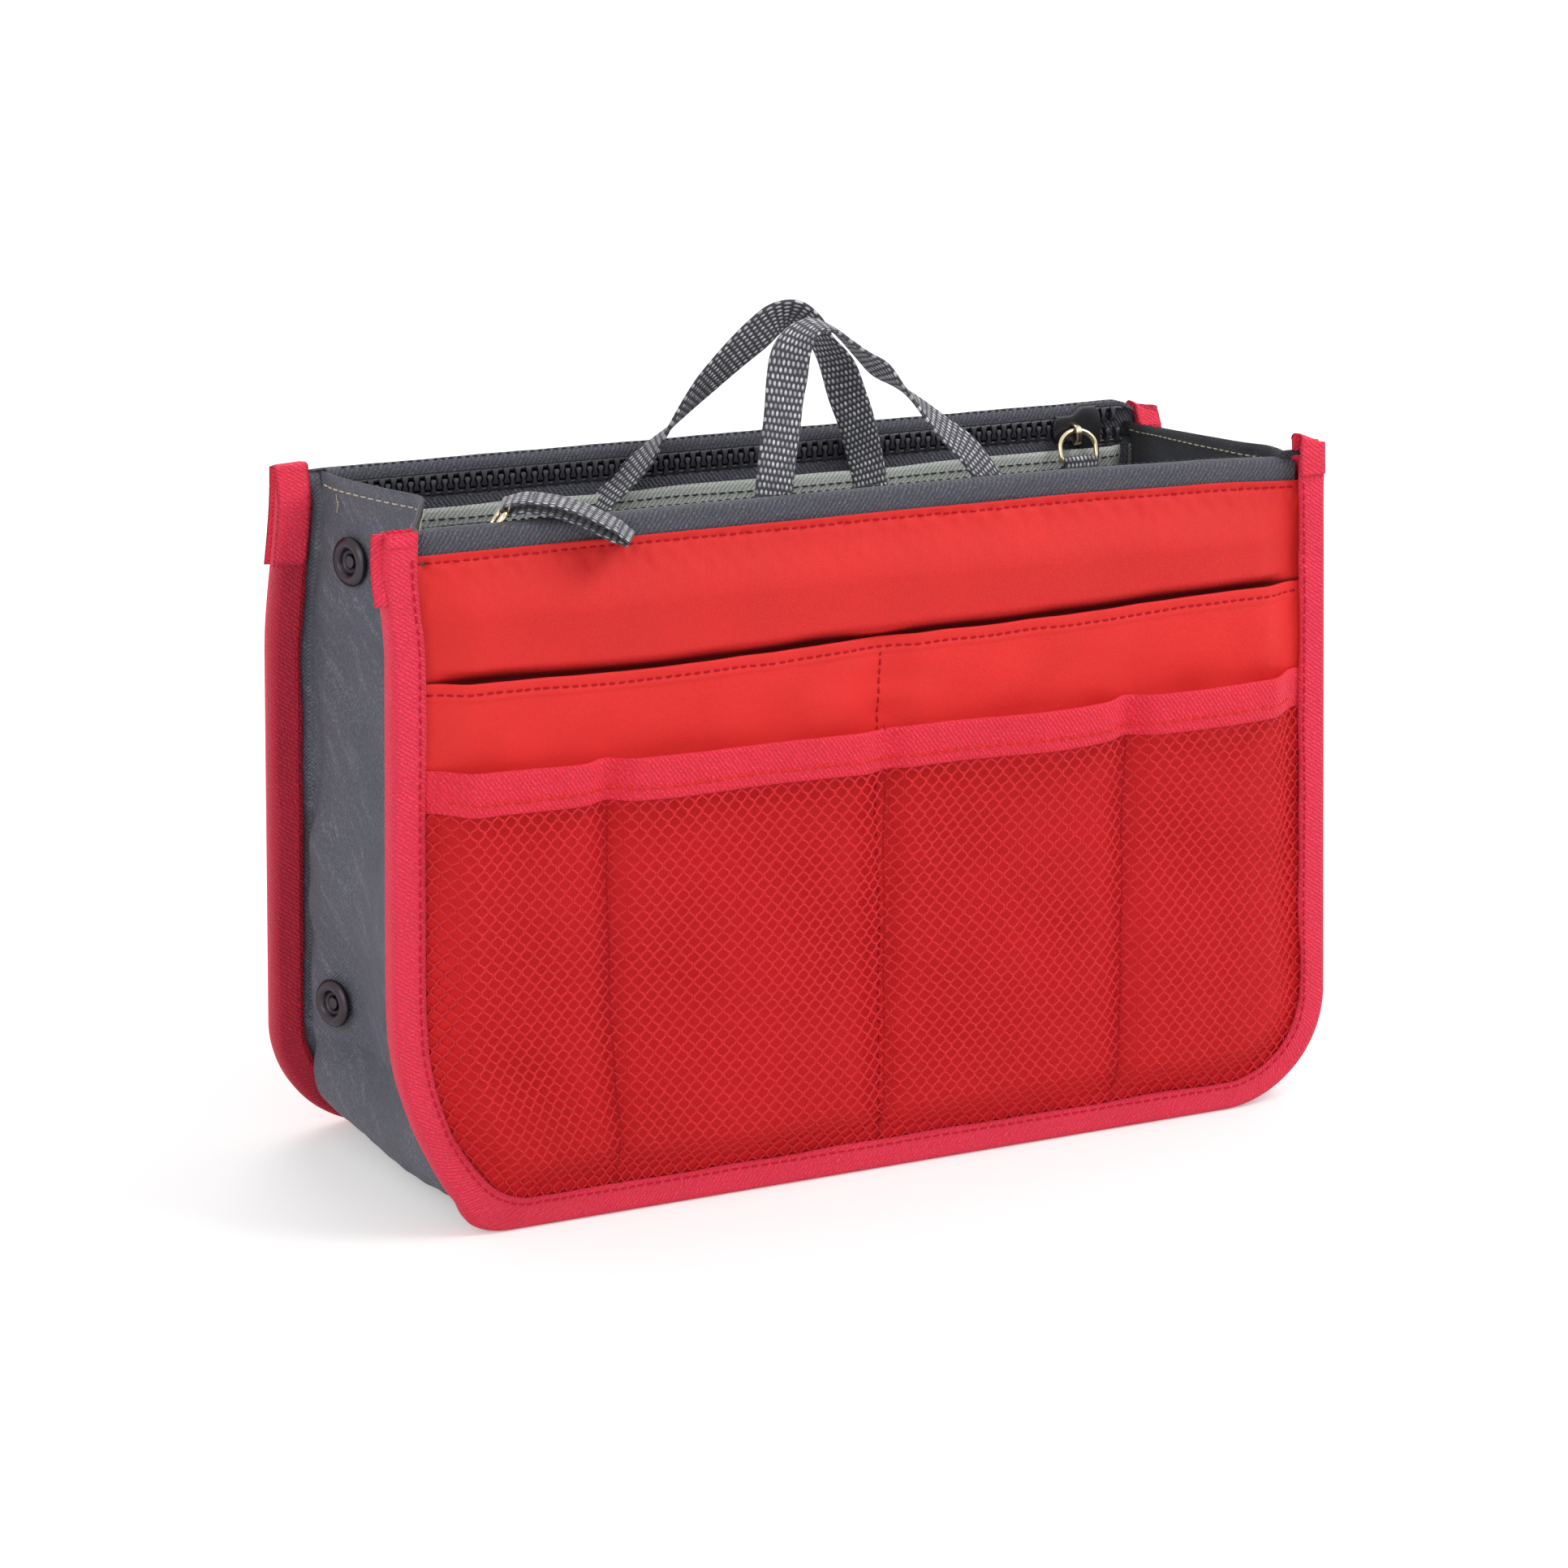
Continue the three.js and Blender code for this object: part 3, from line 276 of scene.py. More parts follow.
        # a flat strap along a path: its cross-section is a rectangle with rounded edges, widest in the middle
        path = np.asarray(path, float)
        ahead = unit(np.gradient(path, axis=0))
        widthWay = unit(widthWay - ahead * (widthWay * ahead).sum(-1, keepdims=True))
        thickWay = np.cross(ahead, widthWay)
        share = np.linspace(-1, 1, across)
        edge = np.sqrt(np.clip(1 - np.abs(share) ** 10, 0, 1)) * (1 - bulge * share**2)
        flat = np.concatenate([np.stack([share, edge], -1), np.stack([share, -edge], -1)[-2:0:-1]])
        width = np.broadcast_to(width, len(path))[:, None, None] / 2
        thick = np.broadcast_to(thick, len(path))[:, None, None] / 2
        wide, deep = widthWay[:, None] * flat[:, :1] * width, thickWay[:, None] * flat[:, 1:] * thick
        rings = path[:, None] + wide + deep
        run = runLength(path)
        cut = np.zeros((len(path) + 1, len(flat) + 1, 2))
        cut[:-1, :-1, 0], cut[..., 1] = flat[:, 0] * width[:, :, 0], np.append(run, run[-1])[:, None]
        cut[:, -1, 0] = cut[:, 0, 0]
        self.loft(toFrame(wall, rings), cut)

    def piece(self, name, finish, body=None, round=True):
        # the gathered faces as one object at the origin
        mesh = bpy.data.meshes.new(name)
        points = np.concatenate(self.points)
        mesh.vertices.add(len(points))
        mesh.vertices.foreach_set("co", points.astype(np.float32).ravel())
        sizes = np.concatenate([np.full(len(f), f.shape[1]) for f in self.faces])
        loops = np.concatenate([f.ravel() for f in self.faces])
        mesh.loops.add(len(loops))
        mesh.loops.foreach_set("vertex_index", loops.astype(np.int32))
        mesh.polygons.add(len(sizes))
        mesh.polygons.foreach_set("loop_start", np.concatenate([[0], np.cumsum(sizes)[:-1]]).astype(np.int32))
        mesh.polygons.foreach_set("loop_total", sizes.astype(np.int32))
        mesh.polygons.foreach_set("use_smooth", np.full(len(sizes), round))
        mesh.update(calc_edges=True)
        layer = mesh.uv_layers.new(name="cut")
        places = np.concatenate([c.reshape(-1, 2) for c in self.cuts])
        layer.data.foreach_set("uv", places.astype(np.float32).ravel())
        mesh.validate()
        mesh.materials.append(finish)
        piece = bpy.data.objects.new(name, mesh)
        bpy.context.scene.collection.objects.link(piece)
        if body:
            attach(piece, body)
        return piece


def sharpen(piece, degrees):
    # edges that turn more than this stay sharp
    piece.data.set_sharp_from_angle(angle=math.radians(degrees))
    return piece


# Finishes


class Link:
    # a node's output, with Python's operators standing for Math nodes

    def __init__(self, finish, socket):
        self.finish, self.socket = finish, socket

    def op(self, operation, *others):
        return self.finish.node("ShaderNodeMath", {"operation": operation}, dict(enumerate((self,) + others)))

    def __add__(self, other): return self.op("ADD", other)
    def __sub__(self, other): return self.op("SUBTRACT", other)
    def __mul__(self, other): return self.op("MULTIPLY", other)
    def __truediv__(self, other): return self.op("DIVIDE", other)
    def __pow__(self, other): return self.op("POWER", other)
    def __neg__(self): return self.op("MULTIPLY", -1.0)
    def __rsub__(self, other): return (-self) + other
    def __rtruediv__(self, other): return self ** -1.0 * other
    __radd__, __rmul__ = __add__, __mul__

    def sine(self): return self.op("SINE")
    def size(self): return self.op("ABSOLUTE")
    def clamped(self, low=0.0, high=1.0): return self.op("MAXIMUM", low).op("MINIMUM", high)
    def above(self, level, soft): return ((self - level) / soft).clamped()


class Finish:
    # a material: node() adds any node, its settings first and then its sockets' values or links

    def __init__(self, name):
        self.material = bpy.data.materials.new(name)
        self.material.use_nodes = True
        self.tree = self.material.node_tree
        self.tree.nodes.clear()

    def node(self, kind, settings=None, sockets=None, output=0):
        made = self.tree.nodes.new(kind)
        for key, value in (settings or {}).items():
            if key == "stops":
                ramp = made.color_ramp
                while len(ramp.elements) < len(value):
                    ramp.elements.new(0.5)
                for stop, (place, colour) in zip(ramp.elements, value):
                    stop.position, stop.color = place, (*colour, 1)
            else:
                setattr(made, key, value)
        for key, value in (sockets or {}).items():
            socket = made.inputs[key]
            if isinstance(value, Link):
                self.tree.links.new(value.socket, socket)
            elif isinstance(value, tuple) and len(value) == 3 and socket.type == "RGBA":
                socket.default_value = (*value, 1)
            else:
                socket.default_value = value
        return Link(self, made.outputs[output])

    def cut(self):
        # the two places along and across the cloth, in millimetres
        place = self.node("ShaderNodeUVMap", {"uv_map": "cut"})
        return [self.node("ShaderNodeSeparateXYZ", {}, {0: place}, k) for k in (0, 1)]

    def spots(self, scale, detail=3.0, rough=0.5, stretch=(1, 1, 1)):
        # noise from 0 to 1 over the object, scale spots to the metre
        place = self.node("ShaderNodeTexCoord", output=3)
        place = self.node("ShaderNodeMapping", {}, {0: place, 3: tuple(float(s) for s in stretch)})
        sockets = {"Vector": place, "Scale": scale, "Detail": detail, "Roughness": rough}
        return self.node("ShaderNodeTexNoise", {}, sockets)

    def grain(self, u, v, scale, detail=2.0):
        # noise that follows the cloth
        place = self.node("ShaderNodeCombineXYZ", {}, {0: u, 1: v})
        return self.node("ShaderNodeTexNoise", {}, {"Vector": place, "Scale": scale, "Detail": detail})

    def mix(self, share, one, other, way="MIX"):
        settings = {"data_type": "RGBA", "blend_type": way}
        return self.node("ShaderNodeMix", settings, {0: share, 6: one, 7: other}, 2)

    def bump(self, height, deep, strength=1.0, normal=None):
        sockets = {"Height": height, "Distance": deep, "Strength": strength}
        if normal is not None:
            sockets["Normal"] = normal
        return self.node("ShaderNodeBump", {}, sockets)

    def done(self, sockets):
        shader = self.node("ShaderNodeBsdfPrincipled", {}, sockets)
        out = self.tree.nodes.new("ShaderNodeOutputMaterial")
        self.tree.links.new(shader.socket, out.inputs["Surface"])
        return self.material


def ink(red, green, blue):
    # a screen colour from 0 to 255 as a linear one
    shares = (red / 255, green / 255, blue / 255)
    return tuple(c / 12.92 if c <= 0.04045 else ((c + 0.055) / 1.055) ** 2.4 for c in shares)


def shade(colour, factor):
    return tuple(min(1.0, c * factor) for c in colour)


def nylonGround(f, colour, pitch):
    # plain weave: warp and weft rise in turn, as the product of two sines, under soft blotches and rubbed
    # places; the height is for the bump
    u, v = f.cut()
    weave = (u * (2 * math.pi / pitch)).sine() * (v * (2 * math.pi / pitch)).sine()
    blotch, fine, crease = f.spots(38, 4), f.grain(u, v, 1.6, 3), f.spots(150, 3, 0.6)
    tone = (0.5 + weave * 0.16 + (blotch - 0.5) * 0.7 + (fine - 0.5) * 0.45).clamped()
    base = f.mix(tone, shade(colour, 0.8), shade(colour, 1.16))
    base = f.mix(crease.above(0.62, 0.2) * 0.22, base, shade(colour, 1.35))
    height = weave * 0.5 + fine * 0.8 + crease * 2.2
    return u, v, weave, blotch, fine, tone, base, height


def nylonDone(f, base, fine, height, deep=0.00009, sheen=0.03, rough=0.55):
    return f.done({
        "Base Color": base, "Roughness": (fine - 0.5) * 0.2 + rough, "Specular IOR Level": 0.3,
        "Sheen Weight": sheen, "Sheen Roughness": 0.4, "Normal": f.bump(height, deep),
    })


def wovenNylon(name, colour, pitch=0.62, deep=0.00009, sheen=0.03, rough=0.55, fleck=0.0, inside=None):
    # a coarse cloth also shows short pale flecks where single threads catch the light
    f = Finish(name)
    u, v, weave, blotch, fine, _, base, height = nylonGround(f, colour, pitch)
    if fleck:
        slant, other = u + v, u - v
        warpThread = f.grain(slant * 2.2, other * 0.7, 0.7, 1)
        weftThread = f.grain(slant * 0.7, other * 2.2, 0.7, 1)
        pale = warpThread.above(0.55, 0.08).op("MAXIMUM", weftThread.above(0.55, 0.08)) * (weave * 0.4 + 0.6)
        streak = f.grain(slant * 0.09, other * 0.42, 0.5, 2).above(0.54, 0.14)
        rubbed = (blotch.above(0.42, 0.25) * 0.4 + streak * 0.5 + 0.2).clamped() * fleck
        base = f.mix(streak * 0.22, base, shade(colour, 1.9))
        base = f.mix(pale * rubbed, base, shade(colour, 2.6))
    # painted shade: the inside face, whose places are moved across by inside, is painted dark
    if inside:
        base = f.mix((u - inside / 2).above(0.0, 1.0) * 0.75, base, shade(colour, 0.16))
    return nylonDone(f, base, fine, height, deep, sheen, rough)


def paintedShadeNylon(name, colour, covered, under):
    # the same cloth, painted darker below the height that the layer in front covers: painted shade cast by
    # that layer
    f = Finish(name)
    _, v, _, _, fine, tone, base, height = nylonGround(f, colour, 0.62)
    # painted shade: deep is the darker copy used below the covered height
    deep = f.mix(tone, shade(under, 0.8), shade(under, 1.2))
    base = f.mix((covered - v).above(0.0, 1.5), base, deep)
    return nylonDone(f, base, fine, height)


def twillLining(name, colour):
    # diagonal ridges of a light twill, pale on dark, with soft blotches
    f = Finish(name)
    u, v = f.cut()
    ridge = ((u + v * 0.8) * (2 * math.pi / 1.3)).sine()
    fine, blotch, thread = f.grain(u, v, 2.2, 3), f.spots(45, 4), f.grain(u * 0.7, v * 2.4, 1.1, 1)
    tone = 0.5 + ridge * 0.3 + (fine - 0.5) * 0.7 + (blotch - 0.5) * 0.5 + (thread - 0.5) * 0.8
    base = f.mix(tone.clamped(), shade(colour, 0.55), shade(colour, 1.35))
    return f.done({
        "Base Color": base, "Roughness": 0.85, "Sheen Weight": 0.1,
        "Normal": f.bump(ridge * 0.5 + fine, 0.00014),
    })


def ribbedTape(name, colour, pitch=1.15, deep=0.0003, fade=0.8, rough=0.7, inner=None):
    # twill tape: slanting ribs that break up into grains, with pale flecks on their crowns;
    # inner is the stretch across the tape that lies between the walls, painted darker there as painted shade
    f = Finish(name)
    u, v = f.cut()
    fine, blotch, broken = f.grain(u, v, 1.9, 3), f.spots(60, 3), f.grain(u, v, 1.1, 1)
    rib = ((v + u * 0.7 + (broken - 0.5) * 1.1) * (2 * math.pi / pitch)).sine() * 0.5 + 0.5
    tone = 0.58 + (rib - 0.5) * 0.6 + (fine - 0.5) * 1.0 + (blotch - 0.5) * 0.5
    base = f.mix(tone.clamped(), shade(colour, fade), shade(colour, 1.15))
    pale = fine.above(0.54, 0.1) * (rib * 0.6 + 0.4)
    base = f.mix(pale * 0.35, base, tuple(min(1.0, c * 1.15 + 0.14) for c in colour))
    if inner:
        start, stop, factor = inner
        # painted shade: the stretch between the walls is painted darker
        hidden = (u - start).above(0.0, 1.0) * (stop - u).above(0.0, 1.0)
        base = f.mix(hidden * (1 - factor), base, shade(colour, 0.25))
    height = rib + (fine - 0.5) * 0.9
    return f.done({
        "Base Color": base, "Roughness": rough, "Specular IOR Level": 0.3,
        "Sheen Weight": 0.05, "Sheen Roughness": 0.4, "Normal": f.bump(height, deep),
    })


def zipCloth(name, colour):
    # the zip's tape: fine slanting ribs, mottled with pale flecks
    f = Finish(name)
    u, v = f.cut()
    fine, thread = f.grain(u, v, 1.5, 3), f.grain(u * 1.6, v * 0.8, 1.1, 1)
    ridge = ((v + u * 0.7 + (thread - 0.5) * 1.2) * (2 * math.pi / 1.25)).sine()
    tone = 0.45 + ridge * 0.3 + (fine - 0.5) * 0.9
    base = f.mix(tone.clamped(), shade(colour, 0.45), shade(colour, 1.5))
    base = f.mix(fine.above(0.57, 0.1) * (ridge * 0.5 + 0.5) * 0.5, base, shade(colour, 3.0))
    return f.done({
        "Base Color": base, "Roughness": 0.8, "Sheen Weight": 0.1,
        "Normal": f.bump(ridge * 0.6 + fine, 0.00022),
    })


def coarseWebbing(name, colour, fleck, across=1.2, along=1.8):
    # heavy webbing: rows of pale oval floats, each row shifted by half a thread, over dark gaps
    f = Finish(name)
    u, v = f.cut()
    wander = f.grain(u, v, 0.5, 1)
    row = (v + (wander - 0.5) * 0.5) * (1 / along)
    level = row.op("FLOOR")
    column = u * (1 / across) + (level * 0.5).op("FRACT")
    place = f.node("ShaderNodeCombineXYZ", {}, {0: column.op("FLOOR"), 1: level})
    own = f.node("ShaderNodeTexWhiteNoise", {"noise_dimensions": "2D"}, {"Vector": place})
    a, b = column.op("FRACT") - 0.5, row.op("FRACT") - 0.5
    far = (a * a) * 6.5 + (b * b) * 5.0
    crown = (1 - far).clamped()
    fine = f.grain(u, v, 2.2, 2)
    base = f.mix((crown * 1.5 + (fine - 0.5) * 0.5).clamped(), shade(colour, 0.3), colour)
    base = f.mix(crown.above(0.25, 0.4) * (own * 0.7 + 0.3), base, fleck)
    height = crown + fine * 0.3
    return f.done({
        "Base Color": base, "Roughness": 0.85, "Sheen Weight": 0.1, "Normal": f.bump(height, 0.00045),
    })


def sewingThread(name, colour):
    # two plies twisted together
    f = Finish(name)
    u, v = f.cut()
    ply = ((u * 2.4 + v * 1.6) * math.pi).sine()
    blotch = f.spots(300, 2)
    base = f.mix((0.5 + ply * 0.3 + (blotch - 0.5) * 0.6).clamped(), shade(colour, 0.7), shade(colour, 1.2))
    return f.done({
        "Base Color": base, "Roughness": 0.7, "Specular IOR Level": 0.2, "Normal": f.bump(ply, 0.00008),
    })


def mouldedPlastic(name, colour):
    f = Finish(name)
    fine, scuff = f.spots(900, 3), f.spots(180, 4)
    base = f.mix(scuff.above(0.55, 0.25) * 0.5, colour, shade(colour, 2.2))
    return f.done({
        "Base Color": base, "Roughness": 0.36 + (scuff - 0.5) * 0.3, "Normal": f.bump(fine, 0.00004),
    })


def platedMetal(name, colour, rough, worn, hollow=None):
    # thin plating, scuffed in fine scratches and a little duller where it is handled; hollow is the radius
    # inside which a turned piece is painted dark, as painted shade in the stud's hole
    f = Finish(name)
    scratch, dull = f.spots(700, 4, 0.6, (1, 6, 1)), f.spots(120, 3)
    base = f.mix(dull.above(0.5, 0.3) * 0.6, colour, worn)
    if hollow:
        # painted shade in the stud's hole, inside the hollow radius
        v = f.cut()[1]
        base = f.mix((hollow - v).above(0.0, 0.3), base, shade(colour, 0.12))
    return f.done({
        "Base Color": base, "Metallic": 1.0, "Normal": f.bump(scratch, 0.00002),
        "Roughness": rough + (dull - 0.5) * 0.25 + (scratch - 0.5) * 0.1,
    })


def plainFoam(name, colour):
    f = Finish(name)
    cells = f.spots(900, 2)
    base = f.mix(cells, shade(colour, 0.85), colour)
    return f.done({"Base Color": base, "Roughness": 0.95, "Normal": f.bump(cells, 0.0002)})


# faceNylon is painted darker below the slip pocket's mouth, coveredNylon below the net's top: painted shade
faceNylon = paintedShadeNylon("faceNylon", ink(223, 40, 38), 143.4, ink(104, 8, 12))
# coveredNylon's upper red is lighter than faceNylon's though the cloth is the same: painted light
coveredNylon = paintedShadeNylon("coveredNylon", ink(236, 46, 44), 116.0, ink(222, 26, 32))
netThread = sewingThread("netThread", ink(250, 56, 64))
# the tapes' inner stretches are painted darker: painted shade between the walls
tapes = {
    "front": ribbedTape("frontTape", ink(250, 52, 82), inner=(16.5, 24.5, 0.5)),
    "rear": ribbedTape("rearTape", ink(250, 52, 82), inner=(11.0, 24.5, 0.52)),
}
netTape = ribbedTape("netTape", ink(244, 44, 68))
# gussetNylon's inside face is painted dark: painted shade inside the bag
gussetNylon = wovenNylon("gussetNylon", ink(94, 95, 105), 1.1, 0.0003, 0.05, 0.6, 1.0, 400.0)
backingNylon = wovenNylon("backingNylon", ink(90, 94, 100), 0.7, 0.0001)
liningTwill = twillLining("liningTwill", ink(186, 190, 184))
zipTape = zipCloth("zipTape", ink(80, 80, 90))
webbing = coarseWebbing("webbing", ink(116, 116, 127), ink(228, 228, 234))
toothPlastic = mouldedPlastic("toothPlastic", ink(50, 50, 57))
paleGold = platedMetal("paleGold", ink(226, 210, 178), 0.2, ink(196, 176, 140))
blackPaint = mouldedPlastic("blackPaint", ink(34, 34, 38))
# gunmetal paints the studs' holes dark: painted shade
gunmetal = platedMetal("gunmetal", ink(70, 64, 68), 0.36, ink(48, 44, 47), 2.7)
foamFinish = plainFoam("foamFinish", ink(233, 231, 224))
# redThread and pinkThread are deeper than the cloth they sew: painted shade of the grooves the stitches sit
# in
redThread = sewingThread("redThread", ink(188, 22, 34))
pinkThread = sewingThread("pinkThread", ink(214, 30, 54))
orangeThread = sewingThread("orangeThread", ink(240, 58, 40))
creamThread = sewingThread("creamThread", ink(214, 204, 180))
greyThread = sewingThread("greyThread", ink(56, 57, 64))
print("finishes made")


# Stitches


def stitches(form, wall, places, facing, pitch=2.9, long=2.1, radius=0.2, sink=0.12, uneven=0.12, seed=3):
    # stitches along a line of points on the cloth: each is a short thread that rises out of the cloth and
    # dips back
    places = np.asarray(places, float)
    facing = np.broadcast_to(np.asarray(facing, float), places.shape)
    run = runLength(places)
    count = max(1, int((run[-1] - long) / pitch))
    pick = np.random.default_rng(seed)
    middle = long / 2 + (np.arange(count) + 0.5) * (run[-1] - long) / count
    middle = middle + pick.uniform(-uneven, uneven, count)
    share = np.array([-0.5, -0.36, 0.0, 0.36, 0.5])
    along = middle[:, None] + share * long
    at = lambda values: np.stack([np.interp(along, run, values[:, k]) for k in range(3)], -1)
    way = unit(at(facing))
    rise = np.array([-1.6, 0.25, 0.75, 0.25, -1.6]) * radius - sink * 0.2
    across = np.cross(way, unit(np.gradient(at(places), axis=1)))
    tilt = (share * 2)[None, :, None] * across * pick.uniform(-0.25, 0.25, count)[:, None, None] * radius
    path = at(places) + way * rise[:, None] + tilt
    form.strand(wall, path, np.array([0.45, 0.95, 1.0, 0.95, 0.45]) * radius, way, 6)


# The outside of each wall

panel = {
    "inset": 2.0,
    "top": 173.0,
    "out": 44.4,
    "thick": 0.5,
    "full": 4.6,
    "fullFoot": 141.5,
    "pucker": 0.4,
    "stitchBelow": 1.9,
}


def panelOut(x, z):
    # flat at its edges and under the pocket, swelling between the seam along its top and the pocket's mouth,
    # gathered in short waves under that seam
    low = (z - panel["fullFoot"] - (slipTop(x) - slip["top"])) / 4.5
    swell = smooth(low) * smooth((panel["top"] - 1.5 - z) / 15)
    inner = smooth((edgeDistance(x, z) - 8) / 14)
    full = (0.3 + panel["full"] * swell) * inner * smooth((panel["top"] - z) / 4)
    seam = panel["top"] - panel["stitchBelow"]
    gather = np.exp(-np.maximum(seam - z, 0) / 6) * smooth((panel["top"] - z) / 2.5)
    waves = ripples(x, z, 9, 5, 9, 3.2) * gather * panel["pucker"] + ripples(x, z, 34, 7) * 0.3 * swell
    calm = ripples(x, z, 60, 6) * 0.3 * smooth((edgeDistance(x, z) - 10) / 20)
    return panel["out"] + full + waves + calm - 0.35 * groove(z - seam)


def facePanel(wall):
    z = rowHeights(panel["inset"], panel["top"], 16, 44, 66)[:, None]
    x = np.linspace(-1, 1, 250) * outlineHalf(z, panel["inset"])
    form = Form()
    cut = np.stack([x, z - (slipTop(x) - slip["top"])], -1)
    form.cloth(wall, x, panelOut(x, z), z, np.full(x.shape, panel["thick"]), cut)
    made = form.piece(f"{wall}FacePanel", faceNylon, f"{wall}_wall")
    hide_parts(f"{wall}_face_panel")
    sewn = Form()
    x = np.linspace(-120, 120, 400)
    z = panel["top"] - panel["stitchBelow"] + ripples(x, x * 0, 50, 8) * 0.12
    line = np.stack([x, panelOut(x, z) + panel["thick"] / 2, z], -1)
    stitches(sewn, wall, line, (0, 1, 0), 2.5, 1.8, 0.25, seed=11)
    seam = sewn.piece(f"{wall}FacePanelStitches", redThread, f"{wall}_wall")


padding = {"inset": 3.4, "near": 41.9, "far": 43.95, "top": 166.0}


def foamPad(wall):
    # a flat pad with rounded edges that fills the wall
    z = rowHeights(padding["inset"], padding["top"], 10, 40)[:, None]
    x = np.linspace(-1, 1, 60) * outlineHalf(z, padding["inset"])
    near = np.minimum(np.minimum(edgeDistance(x, z) - padding["inset"], padding["top"] - z) / 2.5, 1)
    half = (padding["far"] - padding["near"]) * (0.25 + 0.25 * np.sqrt(np.clip(near, 0, 1)))
    form = Form()
    form.cloth(wall, x, (padding["far"] + padding["near"]) / 2, z, 2 * half)
    made = form.piece(f"{wall}FoamPad", foamFinish, f"{wall}_wall")
    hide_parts(f"{wall}_foam_pad")


cover = {"inset": 2.0, "out": 41.45, "top": 168.5, "thick": 0.35}


def backingCloth(wall):
    # the plain cloth behind the pad
    z = rowHeights(cover["inset"], cover["top"], 10, 60)[:, None]
    x = np.linspace(-1, 1, 100) * outlineHalf(z, cover["inset"])
    out = cover["out"] + ripples(x, z, 50, 9) * 0.08 * smooth((edgeDistance(x, z) - 6) / 9)
    form = Form()
    form.cloth(wall, x, out, z, np.full(x.shape, cover["thick"]))
    made = form.piece(f"{wall}Backing", backingNylon, f"{wall}_wall")
    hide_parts(f"{wall}_backing")


slip = {
    "inset": 2.0,
    "top": 142.0,
    "rise": 2.6,
    "flange": 45.05,
    "out": 48.6,
    "thick": 0.5,
    "hem": 4.4,
    "sag": 1.1,
    "stitchBelow": 2.6,
}


def slipOut(x, z):
    # flat under the binding, standing off the panel between the sides and the centre seam, its mouth slack
    # and its cloth dragged in towards the seam in short folds
    near = np.minimum(edgeDistance(x, z) - 9.0, np.abs(x) * 0.9 + 0.3)
    rise = smooth(near / 11) * (slip["out"] - slip["flange"])
    mouth = smooth((z - 118) / 24)
    drag = ripples(x, z, 26, 21, 9, 1.6) * 0.3 + ripples(x, z, 70, 22) * 0.35
    folds = ripples(x * 0.35, z, 8, 23) * 0.4 * np.exp(-np.abs(x) / 9)
    low = rise * (0.78 + 0.22 * mouth) + (drag + folds) * smooth((edgeDistance(x, z) - 9) / 6)
    return slip["flange"] + np.maximum(low, -0.2) - 0.3 * groove(slipTop(x) - slip["stitchBelow"] - z)


def slipTop(x):
    # the mouth's edge: it dips between the places where it is sewn down
    half = halfWidth(140) - 10
    rise = slip["rise"] * smooth((x + 10) / 90)
    sag = slip["sag"] * np.sin(math.pi * np.clip(np.abs(x) / half, 0, 1)) ** 2
    return slip["top"] + rise - sag + ripples(x, x * 0, 45, 24) * 0.2


def slipPocket(wall):
    base = rowHeights(slip["inset"], slip["top"], 16, 66, 52, 114.0)[:, None]
    u = np.linspace(-1, 1, 300)
    x = u * outlineHalf(base, slip["inset"])
    z = base + (slipTop(x) - slip["top"]) * smooth((base - 90) / 50)
    lift = 0.3 * smooth((z - (slipTop(x) - slip["hem"])) / 0.6)
    form = Form()
    form.cloth(wall, x, slipOut(x, z) + lift * 0.6, z, slip["thick"] + lift)
    made = form.piece(f"{wall}SlipPocket", coveredNylon, f"{wall}_wall")
    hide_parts(f"{wall}_slip_pocket")
    sewn = Form()
    x = np.linspace(-121, 121, 400)
    z = slipTop(x) - slip["stitchBelow"] + ripples(x, x * 0, 30, 25) * 0.12
    stitches(sewn, wall, np.stack([x, slipOut(x, z) + 0.62, z], -1), (0, 1, 0), 2.5, 1.8, 0.25, seed=12)
    z = np.linspace(4, 140, 300)
    x = ripples(z, z * 0, 60, 26) * 0.35
    line = np.stack([x, slipOut(x, z) + slip["thick"] / 2, z], -1)
    stitches(sewn, wall, line, (0, 1, 0), 2.5, 1.9, 0.25, seed=13)
    seam = sewn.piece(f"{wall}SlipPocketStitches", redThread, f"{wall}_wall")


net = {
    "top": 116.5,
    "flange": 45.8,
    "out": 52.4,
    "cell": 3.6,
    "tall": 4.3,
    "strand": 0.27,
    "dividers": (-75.0, 0.0, 68.0),
    "bandTop": 121.0,
    "bandTall": 10.6,
    "bandEnd": 7.4,
}


def netOut(x, z):
    # flat under the binding, standing off the pocket behind it and pulled in at each divider; it drapes
    # from the band in slanting folds and lies closer to the pocket lower down
    near = edgeDistance(x, z) - 8.8
    pull = sum(np.exp(-((x - d) / 4.5) ** 2) for d in net["dividers"])
    rise = smooth(near / 12) * (net["out"] - net["flange"])
    behind = slipOut(x, z) + 0.55
    folds = np.sin((x + 0.8 * z) / 9 + 1.3 * ripples(x, z, 80, 33)) * 0.5 * smooth((z - 10) / 40)
    loose = ripples(x, z, 48, 31) * 0.6 + ripples(x, z, 90, 32) * 0.7 + 1.2 * smooth((z - 60) / 50) - 0.3
    drape = (loose + folds) * smooth(near / 10) * (1 - pull * 0.7)
    return np.maximum(net["flange"] + rise * (1 - 0.5 * pull) + drape, behind)


def netTop(x):
    # the band's height: it hangs a little, is pulled up at the ends and caught down at the middle divider
    half = halfWidth(116)
    catch = 1.6 * np.exp(-np.abs(x) / 9) * (x < 0) + 3.2 * np.exp(-np.abs(x) / 14) * (x >= 0)
    step = 1.4 * smooth((x + 1.5) / 3) - 0.7
    hang = 1.1 * (1 - (np.abs(x) / half) ** 2)
    stepped = step * np.exp(-np.abs(x) / 22)
    return net["bandTop"] - hang - catch * 0.6 + stepped + ripples(x, x * 0, 70, 33) * 0.25


